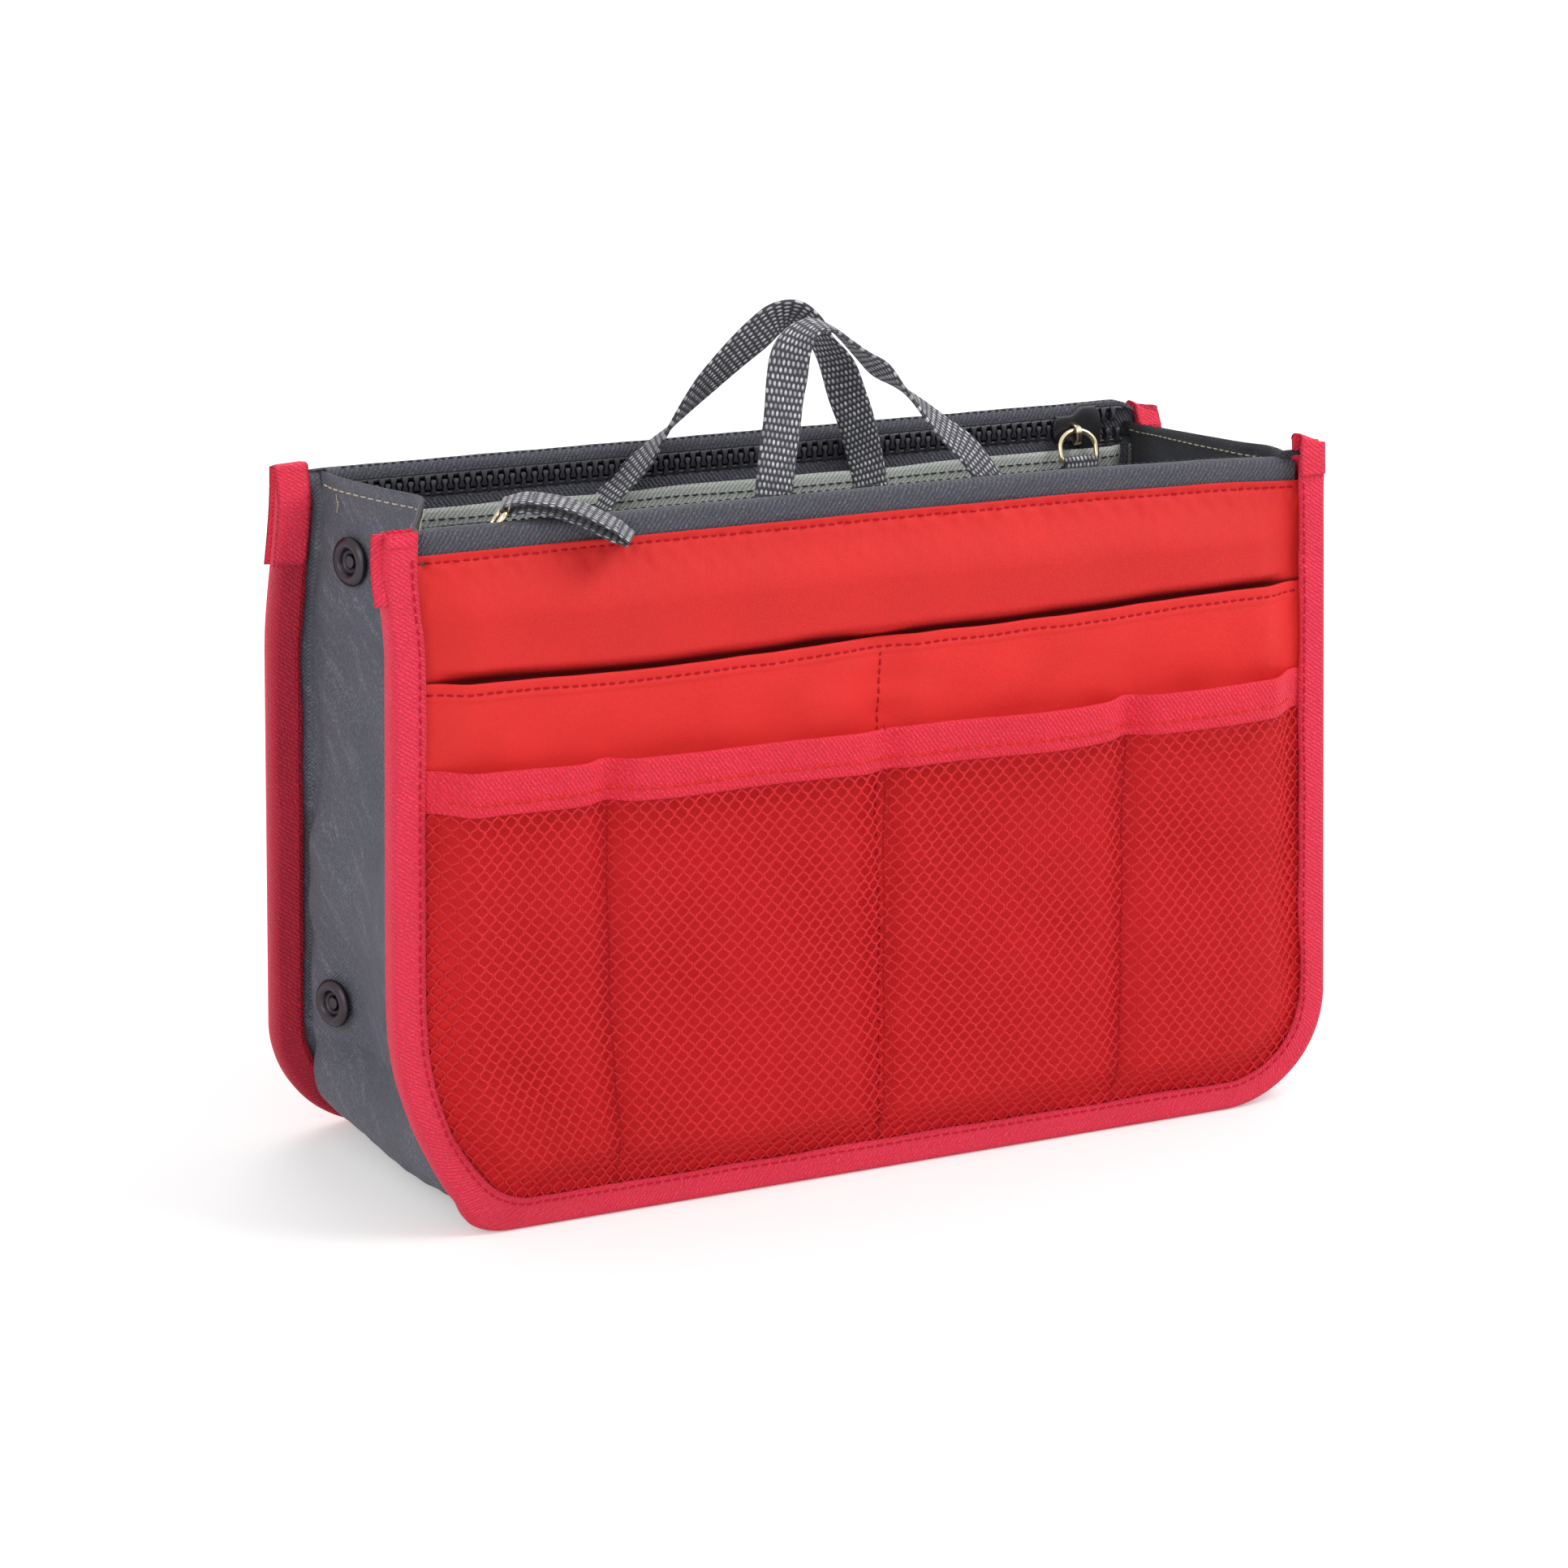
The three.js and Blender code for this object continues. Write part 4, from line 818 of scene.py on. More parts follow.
def netPocket(wall):
    # strands of a knit with round holes: each runs down in steps, aside and straight by turns, and its
    # neighbour mirrors it, so the two meet and part
    form = Form()
    columns = int(2 * 131 / (net["cell"] / 2))
    rows = int((net["top"] - 2.2) / net["tall"])
    step = np.arange(4 * rows + 1)
    aside = np.array([-1.0, 1.0, 1.0, -1.0])[step % 4]
    height = net["top"] - step * net["tall"] / 4
    reach = net["cell"] / 4 - 0.75 * net["strand"]
    starts = (np.arange(columns) - (columns - 1) / 2) * net["cell"] / 2
    for k, start in enumerate(starts):
        way = 1 if k % 2 else -1
        x = start + way * aside * reach
        z = height + 0 * x
        x = x + 1.6 * ripples(x * 0 + start, z, 60, 34) * smooth((net["top"] - z) / 30)
        half = outlineHalf(np.maximum(z, 2.3), 2.2)
        run = np.flatnonzero(np.abs(x) < half)
        if len(run) < 3:
            continue
        run = np.arange(run[0], run[-1] + 1)
        xs, zs = np.clip(x[run], -half[run], half[run]), z[run]
        zs = zs + (netTop(xs) - net["bandTop"]) * smooth(zs / net["top"])
        out = netOut(xs, zs) + 0.08 * way
        form.strand(wall, np.stack([xs, out, zs], -1), net["strand"], (0, 1, 0), 5)
    made = form.piece(f"{wall}NetPocket", netThread, f"{wall}_wall")
    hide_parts(f"{wall}_net_pocket")
    sewn = Form()
    for d in net["dividers"]:
        z = np.linspace(3, 117 if d else 121, 240)
        x = d + ripples(z, z * 0, 40, 35) * 0.4
        stitches(sewn, wall, np.stack([x, netOut(x, z) + 0.3, z], -1), (0, 1, 0), 2.5, 1.9, 0.23, seed=14)
    seam = sewn.piece(f"{wall}NetSeams", redThread, f"{wall}_wall")


def netBand(wall):
    # a tape folded over the net's top edge, ribbed across, its ends run in under the edge binding
    count = 320
    half = halfWidth(116) - net["bandEnd"]
    x = np.linspace(-half, half, count)
    top = netTop(x)
    middle = top - net["bandTall"] / 2
    slim = smooth((half - np.abs(x)) / 6)
    out = netOut(x, middle) + 0.1 * slim
    tilt = (netOut(x, top - 1) - netOut(x, top - net["bandTall"] + 1)) * slim * 0.5
    form = Form()
    share = np.linspace(0, 2 * math.pi, 29)[:-1]
    up, off = blunt(np.sin(share), 0.25), blunt(np.cos(share), 0.6)
    pucker = ripples(x[:, None], up * 5 + 0 * x[:, None], 8, 36) * 0.14
    thick = (0.35 + 0.5 * slim)[:, None]
    rings = np.stack([
        np.broadcast_to(x[:, None], (count, 28)),
        out[:, None] + thick * off + tilt[:, None] * up + pucker,
        middle[:, None] + net["bandTall"] / 2 * up,
    ], -1)
    run = np.concatenate([x, x[-1:]])
    step = np.hypot(np.diff(off, append=off[:1]) * 0.85, np.diff(up, append=up[:1]) * net["bandTall"] / 2)
    around = np.concatenate([[0], np.cumsum(step)])
    cut = np.stack(np.broadcast_arrays(around, run[:, None]), -1)
    form.loft(toFrame(wall, rings), cut)
    made = form.piece(f"{wall}NetBinding", netTape, f"{wall}_wall")
    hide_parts(f"{wall}_net_binding")
    sewn = Form()
    z = top - net["bandTall"] * 0.68 + ripples(x, x * 0, 55, 37) * 0.2
    level = (z - middle) / (net["bandTall"] / 2)
    line = np.stack([x, out + (0.35 + 0.5 * slim) + tilt * level, z], -1)[6:-6]
    stitches(sewn, wall, line, (0, 1, 0), 2.9, 2.3, 0.26, seed=15)
    seam = sewn.piece(f"{wall}NetBindingStitches", orangeThread, f"{wall}_wall")


# The binding round each wall

binding = {
    "width": 8.2,
    "outer": 46.95,
    "inner": 38.75,
    "thick": 0.8,
    "stitchInset": 6.9,
    # for each end: how much wider and how far down its turned end reaches, how far it peaks and how far
    # it rises
    "ends": {
        ("front", -1): (0.1, 3.5, 0.1, -1.2),
        ("front", 1): (-0.6, 5.0, 1.6, 4.2),
        ("rear", 1): (0.9, 26.0, 0.2, 0.0),
        ("rear", -1): (-0.2, 6.0, 1.2, -0.3),
    },
    # the front left end's loose tail beside the wall: its heights and how far it stands off
    "tail": (179.4, 162.0, 1.0),
}


def outlinePath(step):
    # places round the wall's edge from its top left to its top right, with the way in from each
    radius, centre = bag["cornerRadius"], bag["bottomHalf"] - bag["cornerRadius"]
    up = np.linspace(bag["wallTop"], radius, int(150 / step))
    turn = np.linspace(0, math.pi / 2, int(47 / step))[1:-1]
    flat = np.linspace(-centre, centre, int(205 / step))
    side = np.stack([-halfWidth(up), up], -1)
    arc = np.stack([-centre - radius * np.cos(turn), radius - radius * np.sin(turn)], -1)
    low = np.stack([flat, 0 * flat], -1)
    left = np.concatenate([side, arc])
    places = np.concatenate([left, low, left[::-1] * (-1, 1)])
    inward = np.concatenate([
        np.stack([np.ones(len(up)), 0 * up], -1),
        np.stack([np.cos(turn), np.sin(turn)], -1),
        np.stack([0 * flat, np.ones(len(flat))], -1),
    ])
    inward = np.concatenate([inward, inward[: len(left)][::-1] * (-1, 1)])
    run = runLength(places)
    return places, inward, run


def bindingSection():
    # the tape's cross-section, folded over the wall's edge: inset from the edge, distance out
    w, o, i, t = binding["width"], binding["outer"], binding["inner"], binding["thick"]
    face = [(w, o - 0.1), (w * 0.75, o), (w * 0.5, o), (w * 0.25, o), (1.6, o - 0.02)]
    bend = [
        (0.75, o - 0.4), (0.2, o - 1.2), (0.0, o - 2.4), (0.0, (o + i) / 2), (0.0, i + 2.4), (0.2, i + 1.2),
        (0.75, i + 0.4),
    ]
    back = [(1.6, i + 0.02), (w * 0.25, i), (w * 0.5, i), (w * 0.75, i), (w, i + 0.1)]
    inside = [
        (w, i + t), (w * 0.5, i + t), (2.2, i + t), (1.1, i + 1.8), (1.0, (o + i) / 2), (1.1, o - 1.8),
        (2.2, o - t), (w * 0.5, o - t), (w, o - t),
    ]
    outline = np.array(face + bend + back + inside)
    step = np.linalg.norm(np.diff(outline, axis=0, append=outline[:1]), axis=-1)
    return outline, np.concatenate([[0], np.cumsum(step)])


def bindingLift(run, seed):
    # the tape's own unevenness along its run
    return ripples(run, run * 0, 7, seed) * 0.1 + ripples(run, run * 0, 40, seed + 1) * 0.14


def edgeBinding(wall):
    places, inward, run = outlinePath(0.9)
    outline, around = bindingSection()
    uneven = ripples(run[:, None], outline[:, 1] * 0 + 0 * run[:, None], 30, 41)
    inset = outline[:, 0] + 0.25 * uneven * (outline[:, 0] > 5)
    flat = places[:, None] + inward[:, None] * inset[..., None]
    lift = bindingLift(run, 42)[:, None] * np.where(outline[:, 1] > 43, 1, -1) * smooth(outline[:, 0] / 3)
    form = Form()
    rings = np.stack([flat[..., 0], pinched(outline[:, 1] + lift, flat[..., 1]), flat[..., 1]], -1)
    cut = np.stack(np.broadcast_arrays(around, np.append(run, run[-1])[:, None]), -1)
    form.loft(toFrame(wall, rings), cut)
    for side in (-1, 1):
        bindingEnd(form, wall, side)
    made = form.piece(f"{wall}EdgeBinding", tapes[wall], f"{wall}_wall")
    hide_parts(f"{wall}_edge_binding")
    sewn = Form()
    at = places + inward * binding["stitchInset"]
    for out, way, seed in ((binding["outer"], 1, 16), (binding["inner"], -1, 17)):
        line = np.stack([at[:, 0], out + way * bindingLift(run, 42), at[:, 1]], -1)
        stitches(sewn, wall, line[6:-6], (0, way, 0), 2.7, 2.0, 0.25, seed=seed)
    seam = sewn.piece(f"{wall}EdgeBindingStitches", pinkThread, f"{wall}_wall")


def pinched(out, z):
    # the two faces of the tape come together at its top end
    return binding["outer"] - (binding["outer"] - out) * (1 - 0.5 * smooth((z - 170) / 10))


def bindingEnd(form, wall, side):
    # the tape's end, turned down over the top of the wall and sewn flat on both faces, hanging past the
    # wall's side
    wider, foldDown, peak, rise = binding["ends"][wall, side]
    w, o, i = binding["width"], binding["outer"] + 0.05, binding["inner"] - 0.05
    top, low = bag["wallTop"] + 0.35 + rise, bag["wallTop"] - foldDown
    turn = np.linspace(0, math.pi, 17)
    middle, half = (o + i) / 2, (o - i) / 2
    out = np.concatenate([np.full(14, o), middle + half * np.cos(turn)[1:-1], np.full(14, i)])
    bow = 0.5 * np.sin(np.linspace(0, 7, len(out)) + side)
    over = top - 2 + 1.8 * np.sin(turn)[1:-1] ** 0.4
    z = np.concatenate([np.linspace(low, top - 2, 14), over, np.linspace(top - 2, low + 1.2, 14)])
    x = side * (halfWidth(z) - w / 2 + wider / 2 + 0.1)
    path = np.stack([x, pinched(out, z) + bow * 0.2, z], -1)
    tilted = np.tile([1.0, 0, -side * peak / 4], (len(z), 1))
    form.strap(wall, path, tilted, w + wider, 0.6, 8)
    if (wall, side) == ("front", -1):
        high, low, off = binding["tail"]
        z = np.linspace(high, low, 16)
        out = 45.6 - 0.5 * np.sin((high - z) / 4)
        path = np.stack([-halfWidth(z) - off, out, z], -1)
        form.strap(wall, path, np.tile([1.0, 0.12, 0], (16, 1)), 3.6, 0.6, 6)


# The inside of each wall

lining = {"inset": 2.0, "top": 166.6, "edge": 40.85, "out": 36.3, "thick": 0.5, "hem": 4.2}


def liningOut(x, z):
    # sewn in at the sides and bottom, standing in from the wall by the compartment behind it, its hem a
    # little slack
    near = edgeDistance(x, z) - 11.2
    fold = ripples(x, z, 34, 51, 9, 1.4) * 0.25 + ripples(x, z, 90, 52) * 0.5
    return lining["edge"] - smooth(near / 9) * (lining["edge"] - lining["out"]) + fold * smooth(near / 14)


def liningPanel(wall):
    base = rowHeights(lining["inset"], lining["top"], 14, 110)[:, None]
    x = np.linspace(-1, 1, 260) * outlineHalf(base, lining["inset"])
    z = base + ripples(x, x * 0, 60, 53) * 0.3 * smooth((base - 120) / 40)
    lift = 0.5 * smooth((base - (lining["top"] - lining["hem"])) / 0.7)
    form = Form()
    form.cloth(wall, x, liningOut(x, z) - lift * 0.3, z, lining["thick"] + lift)
    made = form.piece(f"{wall}Lining", liningTwill, f"{wall}_wall")
    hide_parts(f"{wall}_lining")
    sewn = Form()
    x = np.linspace(-113, 113, 300)
    z = lining["top"] - 2.8 + ripples(x, x * 0, 40, 54) * 0.15
    stitches(sewn, wall, np.stack([x, liningOut(x, z) - 0.75, z], -1), (0, -1, 0), 2.6, 1.9, 0.22, seed=18)
    seam = sewn.piece(f"{wall}LiningStitches", greyThread, f"{wall}_wall")


# The zips

zipper = {
    "tapeEnd": 115.2,
    "faceEnd": 119.8,
    "tapeThick": 0.6,
    "roll": 2.0,
    "rollTop": 178.4,
    "tailOut": 43.55,
    "tailFoot": 166.5,
}


def upperTape(wall):
    # from the teeth up, over the wall's top edge and down behind the face panel
    x = np.linspace(-zipper["tapeEnd"], zipper["tapeEnd"], 460)
    near, far = bag["chainOut"], zipper["tailOut"]
    foot = bag["chainZ"] + bag["chainEdge"] + 0.1
    level = zipper["rollTop"] - zipper["roll"]
    turn = np.linspace(math.pi, 0, 15)
    middle, half = (near + far) / 2, (far - near) / 2
    out = np.concatenate([np.full(6, near), middle + half * np.cos(turn), np.full(16, far)])
    up, down = np.linspace(foot, level, 7)[:-1], np.linspace(level, zipper["tailFoot"], 17)[1:]
    z = np.concatenate([up, level + zipper["roll"] * np.sin(turn), down])
    place = np.concatenate([[0], np.cumsum(np.hypot(np.diff(out), np.diff(z)))])
    rise = rowShift(x[None]) * smooth((2.6 - place[:, None]) / 1.6)
    wave = ripples(x[None], place[:, None] * 3, 16, 61) * 0.12 * smooth(place[:, None] / 3)
    form = Form()
    wider = 1 + (zipper["faceEnd"] / zipper["tapeEnd"] - 1) * smooth((out - 41.2) / 1.6)
    grid = [x * wider[:, None], out[:, None] + wave, z[:, None] + rise + wave * 0.5]
    cut = np.stack(np.broadcast_arrays(place[:, None], x[None]), -1)
    form.cloth(wall, *grid, np.full(grid[0].shape, zipper["tapeThick"]), cut)
    made = form.piece(f"{wall}UpperTape", zipTape, f"{wall}_wall")
    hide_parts(f"{wall}_zip_upper_tape")
    sewn = Form()
    x = np.linspace(3 - zipper["tapeEnd"], zipper["tapeEnd"] - 3, 400)
    line = np.stack([x, 0 * x + near + 1.3, 0 * x + zipper["rollTop"] + 0.15], -1)
    stitches(sewn, wall, line, (0, -0.4, 1), 2.2, 1.3, 0.24, seed=21)
    seam = sewn.piece(f"{wall}UpperTapeStitches", greyThread, f"{wall}_wall")


def lowerTape(wall):
    # from the teeth down behind the lining's hem
    x = np.linspace(-zipper["tapeEnd"], zipper["tapeEnd"], 460)
    z = np.linspace(bag["chainZ"] - bag["chainEdge"] - 0.1, 152.4, 20)[:, None]
    place = z.max() - z
    drop = rowShift(x[None]) * smooth((2.6 - place) / 1.6)
    wave = ripples(x[None], z, 18, 62) * 0.1
    form = Form()
    grid = np.broadcast_arrays(x[None], bag["chainOut"] + wave, z - drop)
    cut = np.stack(np.broadcast_arrays(place, x[None]), -1)
    form.cloth(wall, *grid, np.full(grid[0].shape, zipper["tapeThick"]), cut)
    made = form.piece(f"{wall}LowerTape", zipTape, f"{wall}_wall")
    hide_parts(f"{wall}_zip_lower_tape")


def teeth(wall, side):
    # moulded teeth: each is an outline with a neck and a wider head, swept from face to face with eased
    # edges, and all sit on one cord
    pitch, edge = bag["toothPitch"], bag["chainEdge"]
    count = int(2 * bag["chainHalf"] / pitch) - 1
    x0 = -bag["chainHalf"] + pitch * (1 if side > 0 else 0.5) + pitch * np.arange(count)
    outline = np.array([
        (-0.46, 2.75), (-0.3, 1.3), (-0.2, 0.55), (-0.3, -0.15), (-0.42, -0.7), (-0.36, -1.15),
        (-0.16, -1.32),
        (0.16, -1.32), (0.36, -1.15), (0.42, -0.7), (0.3, -0.15), (0.2, 0.55), (0.3, 1.3), (0.46, 2.75),
    ])
    outline[:, 0] *= pitch * 0.62
    depth = np.array([-1.2, -1.0, 1.0, 1.2])
    ease = np.array([0.86, 1.0, 1.0, 0.86])
    centre = outline.mean(0)
    shape = centre + (outline - centre) * ease[:, None, None]
    x = x0[:, None, None] + shape[None, ..., 0]
    z = bag["chainZ"] + side * (shape[None, ..., 1] + rowShift(x0)[:, None, None])
    out = np.broadcast_to(bag["chainOut"] + depth[None, :, None], z.shape)
    form = Form()
    form.loft(toFrame(wall, np.stack([np.broadcast_to(x, z.shape), out, z], -1)))
    x = np.linspace(-bag["chainHalf"], bag["chainHalf"], 240)
    cord = np.stack([x, 0 * x + bag["chainOut"], bag["chainZ"] + side * (edge - 0.55 + rowShift(x))], -1)
    form.strand(wall, cord, 0.62, (0, 1, 0), 8)
    name = "Upper" if side > 0 else "Lower"
    made = sharpen(form.piece(f"{wall}{name}Teeth", toothPlastic, f"{wall}_wall"), 50)
    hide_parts(f"{wall}_zip_{name.lower()}_teeth")


glide = {
    "nose": 7.5,
    "tail": 7.0,
    "plate": 1.0,
    "gap": 1.4,
    "half": 3.7,
    "reach": 4.2,
    "bridge": {"front": 1.4, "rear": -1.25},
    "bar": 0.95,
    "span": 2.9,
    "wide": 1.9,
}


def slider(wall):
    # two plates, wider at the nose where the rows part, with their rims turned towards each other,
    # the wedge between them and the bridge that holds the ring
    middle = bag["sliderX"] + (glide["tail"] - glide["nose"]) / 2
    half = (glide["tail"] + glide["nose"]) / 2
    share = np.sin(np.linspace(-1, 1, 41) * math.pi / 2) * 0.9995
    x = middle + half * share
    tall = (glide["half"] + rowShift(x)) * (1 - np.abs(share) ** 7) ** 0.35
    angle = np.linspace(0, 2 * math.pi, 33)[:-1]
    up, off = blunt(np.sin(angle), 0.45), blunt(np.cos(angle), 0.45)
    form = Form()
    for way in (-1, 1):
        out = bag["chainOut"] + way * (glide["gap"] + glide["plate"] / 2)
        crown = way * 0.22 * (1 - share**2)
        rings = np.stack([
            np.broadcast_to(x[:, None], (41, 32)),
            out + crown[:, None] + glide["plate"] / 2 * off,
            bag["chainZ"] + tall[:, None] * up,
        ], -1)
        form.loft(toFrame(wall, rings))
        for rim in (-1, 1):
            xs = np.linspace(middle - half * 0.86, middle + half * 0.86, 24)
            out = 0 * xs + bag["chainOut"] + way * (glide["gap"] - 0.3)
            z = bag["chainZ"] + rim * (glide["half"] - 0.35 + rowShift(xs))
            line = np.stack([xs, out, z], -1)
            form.strap(wall, line, np.tile([0.0, 1, 0], (24, 1)), 1.0, 0.7, 6)
    post = np.array([[-7.0, 0], [-6.2, 0.6], [-4.4, 0.55], [-3.0, 0.05]])
    post = np.concatenate([post, (post * (1, -1))[::-1]])
    levels = bag["chainOut"] + np.array([-1.5, 1.5])
    rings = np.stack([
        np.broadcast_to(bag["sliderX"] + post[:, 0], (2, 8)),
        np.broadcast_to(levels[:, None], (2, 8)),
        np.broadcast_to(bag["chainZ"] + post[:, 1], (2, 8)),
    ], -1)
    form.loft(toFrame(wall, rings))
    root = bag["chainOut"] - glide["gap"] - glide["plate"] + 0.15
    crown = root - 0.15 - glide["reach"] + glide["bar"] / 2
    turn = np.linspace(0, math.pi, 25)
    rise = (glide["span"] - glide["bar"] / 2) * blunt(np.cos(turn), 0.55)
    z = bag["chainZ"] + glide["bridge"][wall] + rise
    out = root - (root - crown) * np.abs(np.sin(turn)) ** 0.55
    path = np.stack([np.full(25, bag["sliderX"] + 1), out, z], -1)
    made = sharpen(form.piece(f"{wall}Slider", blackPaint, f"{wall}_slider"), 60)
    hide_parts(f"{wall}_zip_slider")
    form = Form()
    form.strap(wall, path, np.tile([1.0, 0, 0], (25, 1)), glide["wide"], glide["bar"], 8)
    made = form.piece(f"{wall}SliderBridge", paleGold, f"{wall}_slider")


pull = {
    "half": 5.5,
    "drop": {"front": 7.3, "rear": 8.6},
    "wire": 0.78,
    "corner": 1.9,
    "width": 10.2,
    "layer": 0.8,
    "length": 34.0,
}


def curve(points, count):
    # a smooth line through the points: a Hermite curve with slopes from each point's neighbours
    points = np.asarray(points, float)
    knots = runLength(points)
    slopes = np.gradient(points, knots, axis=0)
    t = np.linspace(0, knots[-1], count)
    k = np.clip(np.searchsorted(knots, t, "right") - 1, 0, len(knots) - 2)
    gap = (knots[k + 1] - knots[k])[:, None]
    s = (t - knots[k])[:, None] / gap
    a, b, c, d = 2 * s**3 - 3 * s**2 + 1, s**3 - 2 * s**2 + s, 3 * s**2 - 2 * s**3, s**3 - s**2
    return a * points[k] + b * gap * slopes[k] + c * points[k + 1] + d * gap * slopes[k + 1]


def pullRing(wall, origin, across, along):
    # a D ring: half an ellipse round the bridge, two short corners and a straight bar
    turn = np.linspace(math.pi, 0, 41)
    drop = pull["drop"][wall]
    rise = drop - 2 * pull["corner"]
    bend = np.stack([pull["half"] * np.cos(turn), rise - rise * np.sin(turn)], -1)
    corner = np.linspace(0, math.pi / 2, 9)
    right = np.stack([
        pull["half"] - pull["corner"] * (1 - np.cos(corner)),
        drop - pull["corner"] * (1 - np.sin(corner)),
    ], -1)[1:]
    path = np.concatenate([bend, right, (right * (-1, 1))[::-1]])
    line = origin + across * path[:, :1] + along * path[:, 1:]
    form = Form()
    form.strand(wall, line, pull["wire"], np.cross(across, along), 14, closed=True)
    made = form.piece(f"{wall}PullRing", paleGold, f"{wall}_pull")
    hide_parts(f"{wall}_pull_ring")


def pullTab(wall, across, middle, normals):
    # webbing doubled round the ring's bar: out along one side of the middle line, round the bar and back
    # along the other
    count = len(middle)
    ahead = unit(np.gradient(middle, axis=0))
    normals = unit(normals - ahead * (normals * ahead).sum(-1, keepdims=True))
    apart = 0.08 + pull["layer"] / 2
    eye = smooth(np.linspace(count / 14, 0, count))
    spread = apart + (pull["wire"] + pull["layer"] / 2 + 0.1 - apart) * eye
    near, far = middle + normals * spread[:, None], middle - normals * spread[:, None]
    turn = np.linspace(0, math.pi, 11)[1:-1, None]
    round_ = middle[0] + spread[0] * (normals[0] * np.cos(turn) - ahead[0] * np.sin(turn))
    path = np.concatenate([near[::-1], round_, far])
    widths = np.tile(across, (len(path), 1))
    follow = np.concatenate([np.cross(ahead, normals)[::-1], widths[count:-count], np.cross(ahead, normals)])
    follow *= np.sign((follow * across).sum(-1, keepdims=True))
    form = Form()
    form.strap(wall, path, follow, pull["width"], pull["layer"], 12)
    made = form.piece(f"{wall}PullTab", webbing, f"{wall}_pull")
    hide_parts(f"{wall}_pull_tab")
    sewn = Form()
    sideways = unit(np.cross(ahead, normals))
    for share, seed in ((0.2, 19), (0.86, 20)):
        k = int(count * share)
        for way in (1, -1):
            reach = np.linspace(-4.2, 4.2, 20)[:, None]
            line = middle[k] + sideways[k] * reach + normals[k] * way * (spread[k] + pull["layer"] / 2)
            stitches(sewn, wall, line, normals[k] * way, 1.9, 1.5, 0.17, seed=seed)
    seam = sewn.piece(f"{wall}PullTabStitches", greyThread, f"{wall}_pull")


def drapedPull(wall):
    # the pull that lies over its bridge and out over the wall's top edge: x, out, z of the tab's middle line,
    # and the ring between the bridge and the tab's end
    line = np.array([
        (-92.4, 36.6, 182.0), (-89.4, 38.2, 182.7), (-85.0, 40.4, 182.2), (-80.4, 42.8, 181.0),
        (-75.8, 45.4, 178.9),
        (-71.2, 48.0, 176.2), (-66.8, 50.3, 173.4),
    ])
    origin = np.array([bag["sliderX"] + 1, 34.0, bag["chainZ"] + glide["bridge"][wall] + 1.4])
    along = unit(line[0] - origin)
    across = unit(np.cross(along, (0.0, 0.1, 0.99)))
    line += (origin + along * pull["drop"][wall] - line[0]) * np.linspace(1, 0, len(line))[:, None] ** 2
    middle = curve(line, 90)
    pullRing(wall, origin, across, along)
    pullTab(wall, across, middle, np.tile([0.0, 0.08, 0.99], (90, 1)))


def hangingPull(wall):
    # the pull that hangs down in front of the lining
    across, along = np.array([1.0, 0, 0]), unit(np.array([0.0, -0.32, -1.0]))
    origin = np.array([bag["sliderX"] + 1, 34.65, bag["chainZ"] + glide["bridge"][wall] + 1.15])
    bar = origin + along * pull["drop"][wall]
    drop = np.linspace(0, pull["length"], 70)
    middle = bar + drop[:, None] * (0, 0, -1) + (0.25 * np.sin(drop / 9))[:, None] * (0, 1, 0)
    pullRing(wall, origin, across, along)
    pullTab(wall, across, middle, np.tile([0.0, -1, 0], (70, 1)))


# The handles

handle = {
    "width": 10.2,
    "thick": 1.3,
    "hinge": (31.3, 181.5),
    "bend": 5.5,
    "lean": 10.0,
    "footOut": 35.0,
    "footZ": 150.0,
    # each strap's middle line from one foot to the other: x and the height above the hinge along the lean
    "front": (
        (-23.6, -12), (-22.2, -4), (-20.9, 2), (-18.7, 11.5), (-16.4, 23), (-13.8, 31.4), (-11.2, 34.6),
        (-7.4, 36.2),
        (-3.4, 35.2), (0.2, 32.3), (4.0, 28.7), (8, 25.2), (11.7, 21.6), (16.8, 17), (25.4, 8.2), (32, 1.8),
        (36, -4), (40.5, -12),
    ),
    "rear": (
        (-33.4, -12), (-30.4, -4), (-28.4, 1), (-26, 6.5), (-21.6, 16.9), (-17.2, 23), (-12.4, 28.4),
        (-8.0, 30.6),
        (-3.8, 29.8), (1.4, 25.8), (9, 19.2), (16.0, 12.3), (21.6, 5.8), (25.6, 0.8), (30, -5.0),
        (36.2, -11.6),
        (44, -19.2),
    ),
    # how far the strap is turned about its own line, in degrees, at distances from its peak down the slant
    "turns": {
        "front": (
            (-22, 0), (-12, 32), (-5, 62), (2, 74), (9, 80), (15, 90), (20, 106), (28, 76), (38, 52),
            (50, 32), (72, 18),
        ),
        "rear": (
            (-46, 0), (-36, 8), (-24, 34), (-12, 66), (-5, 44), (2, 12), (10, 4), (28, 25), (41, 54),
            (52, 84), (66, 108),
        ),
    },
}


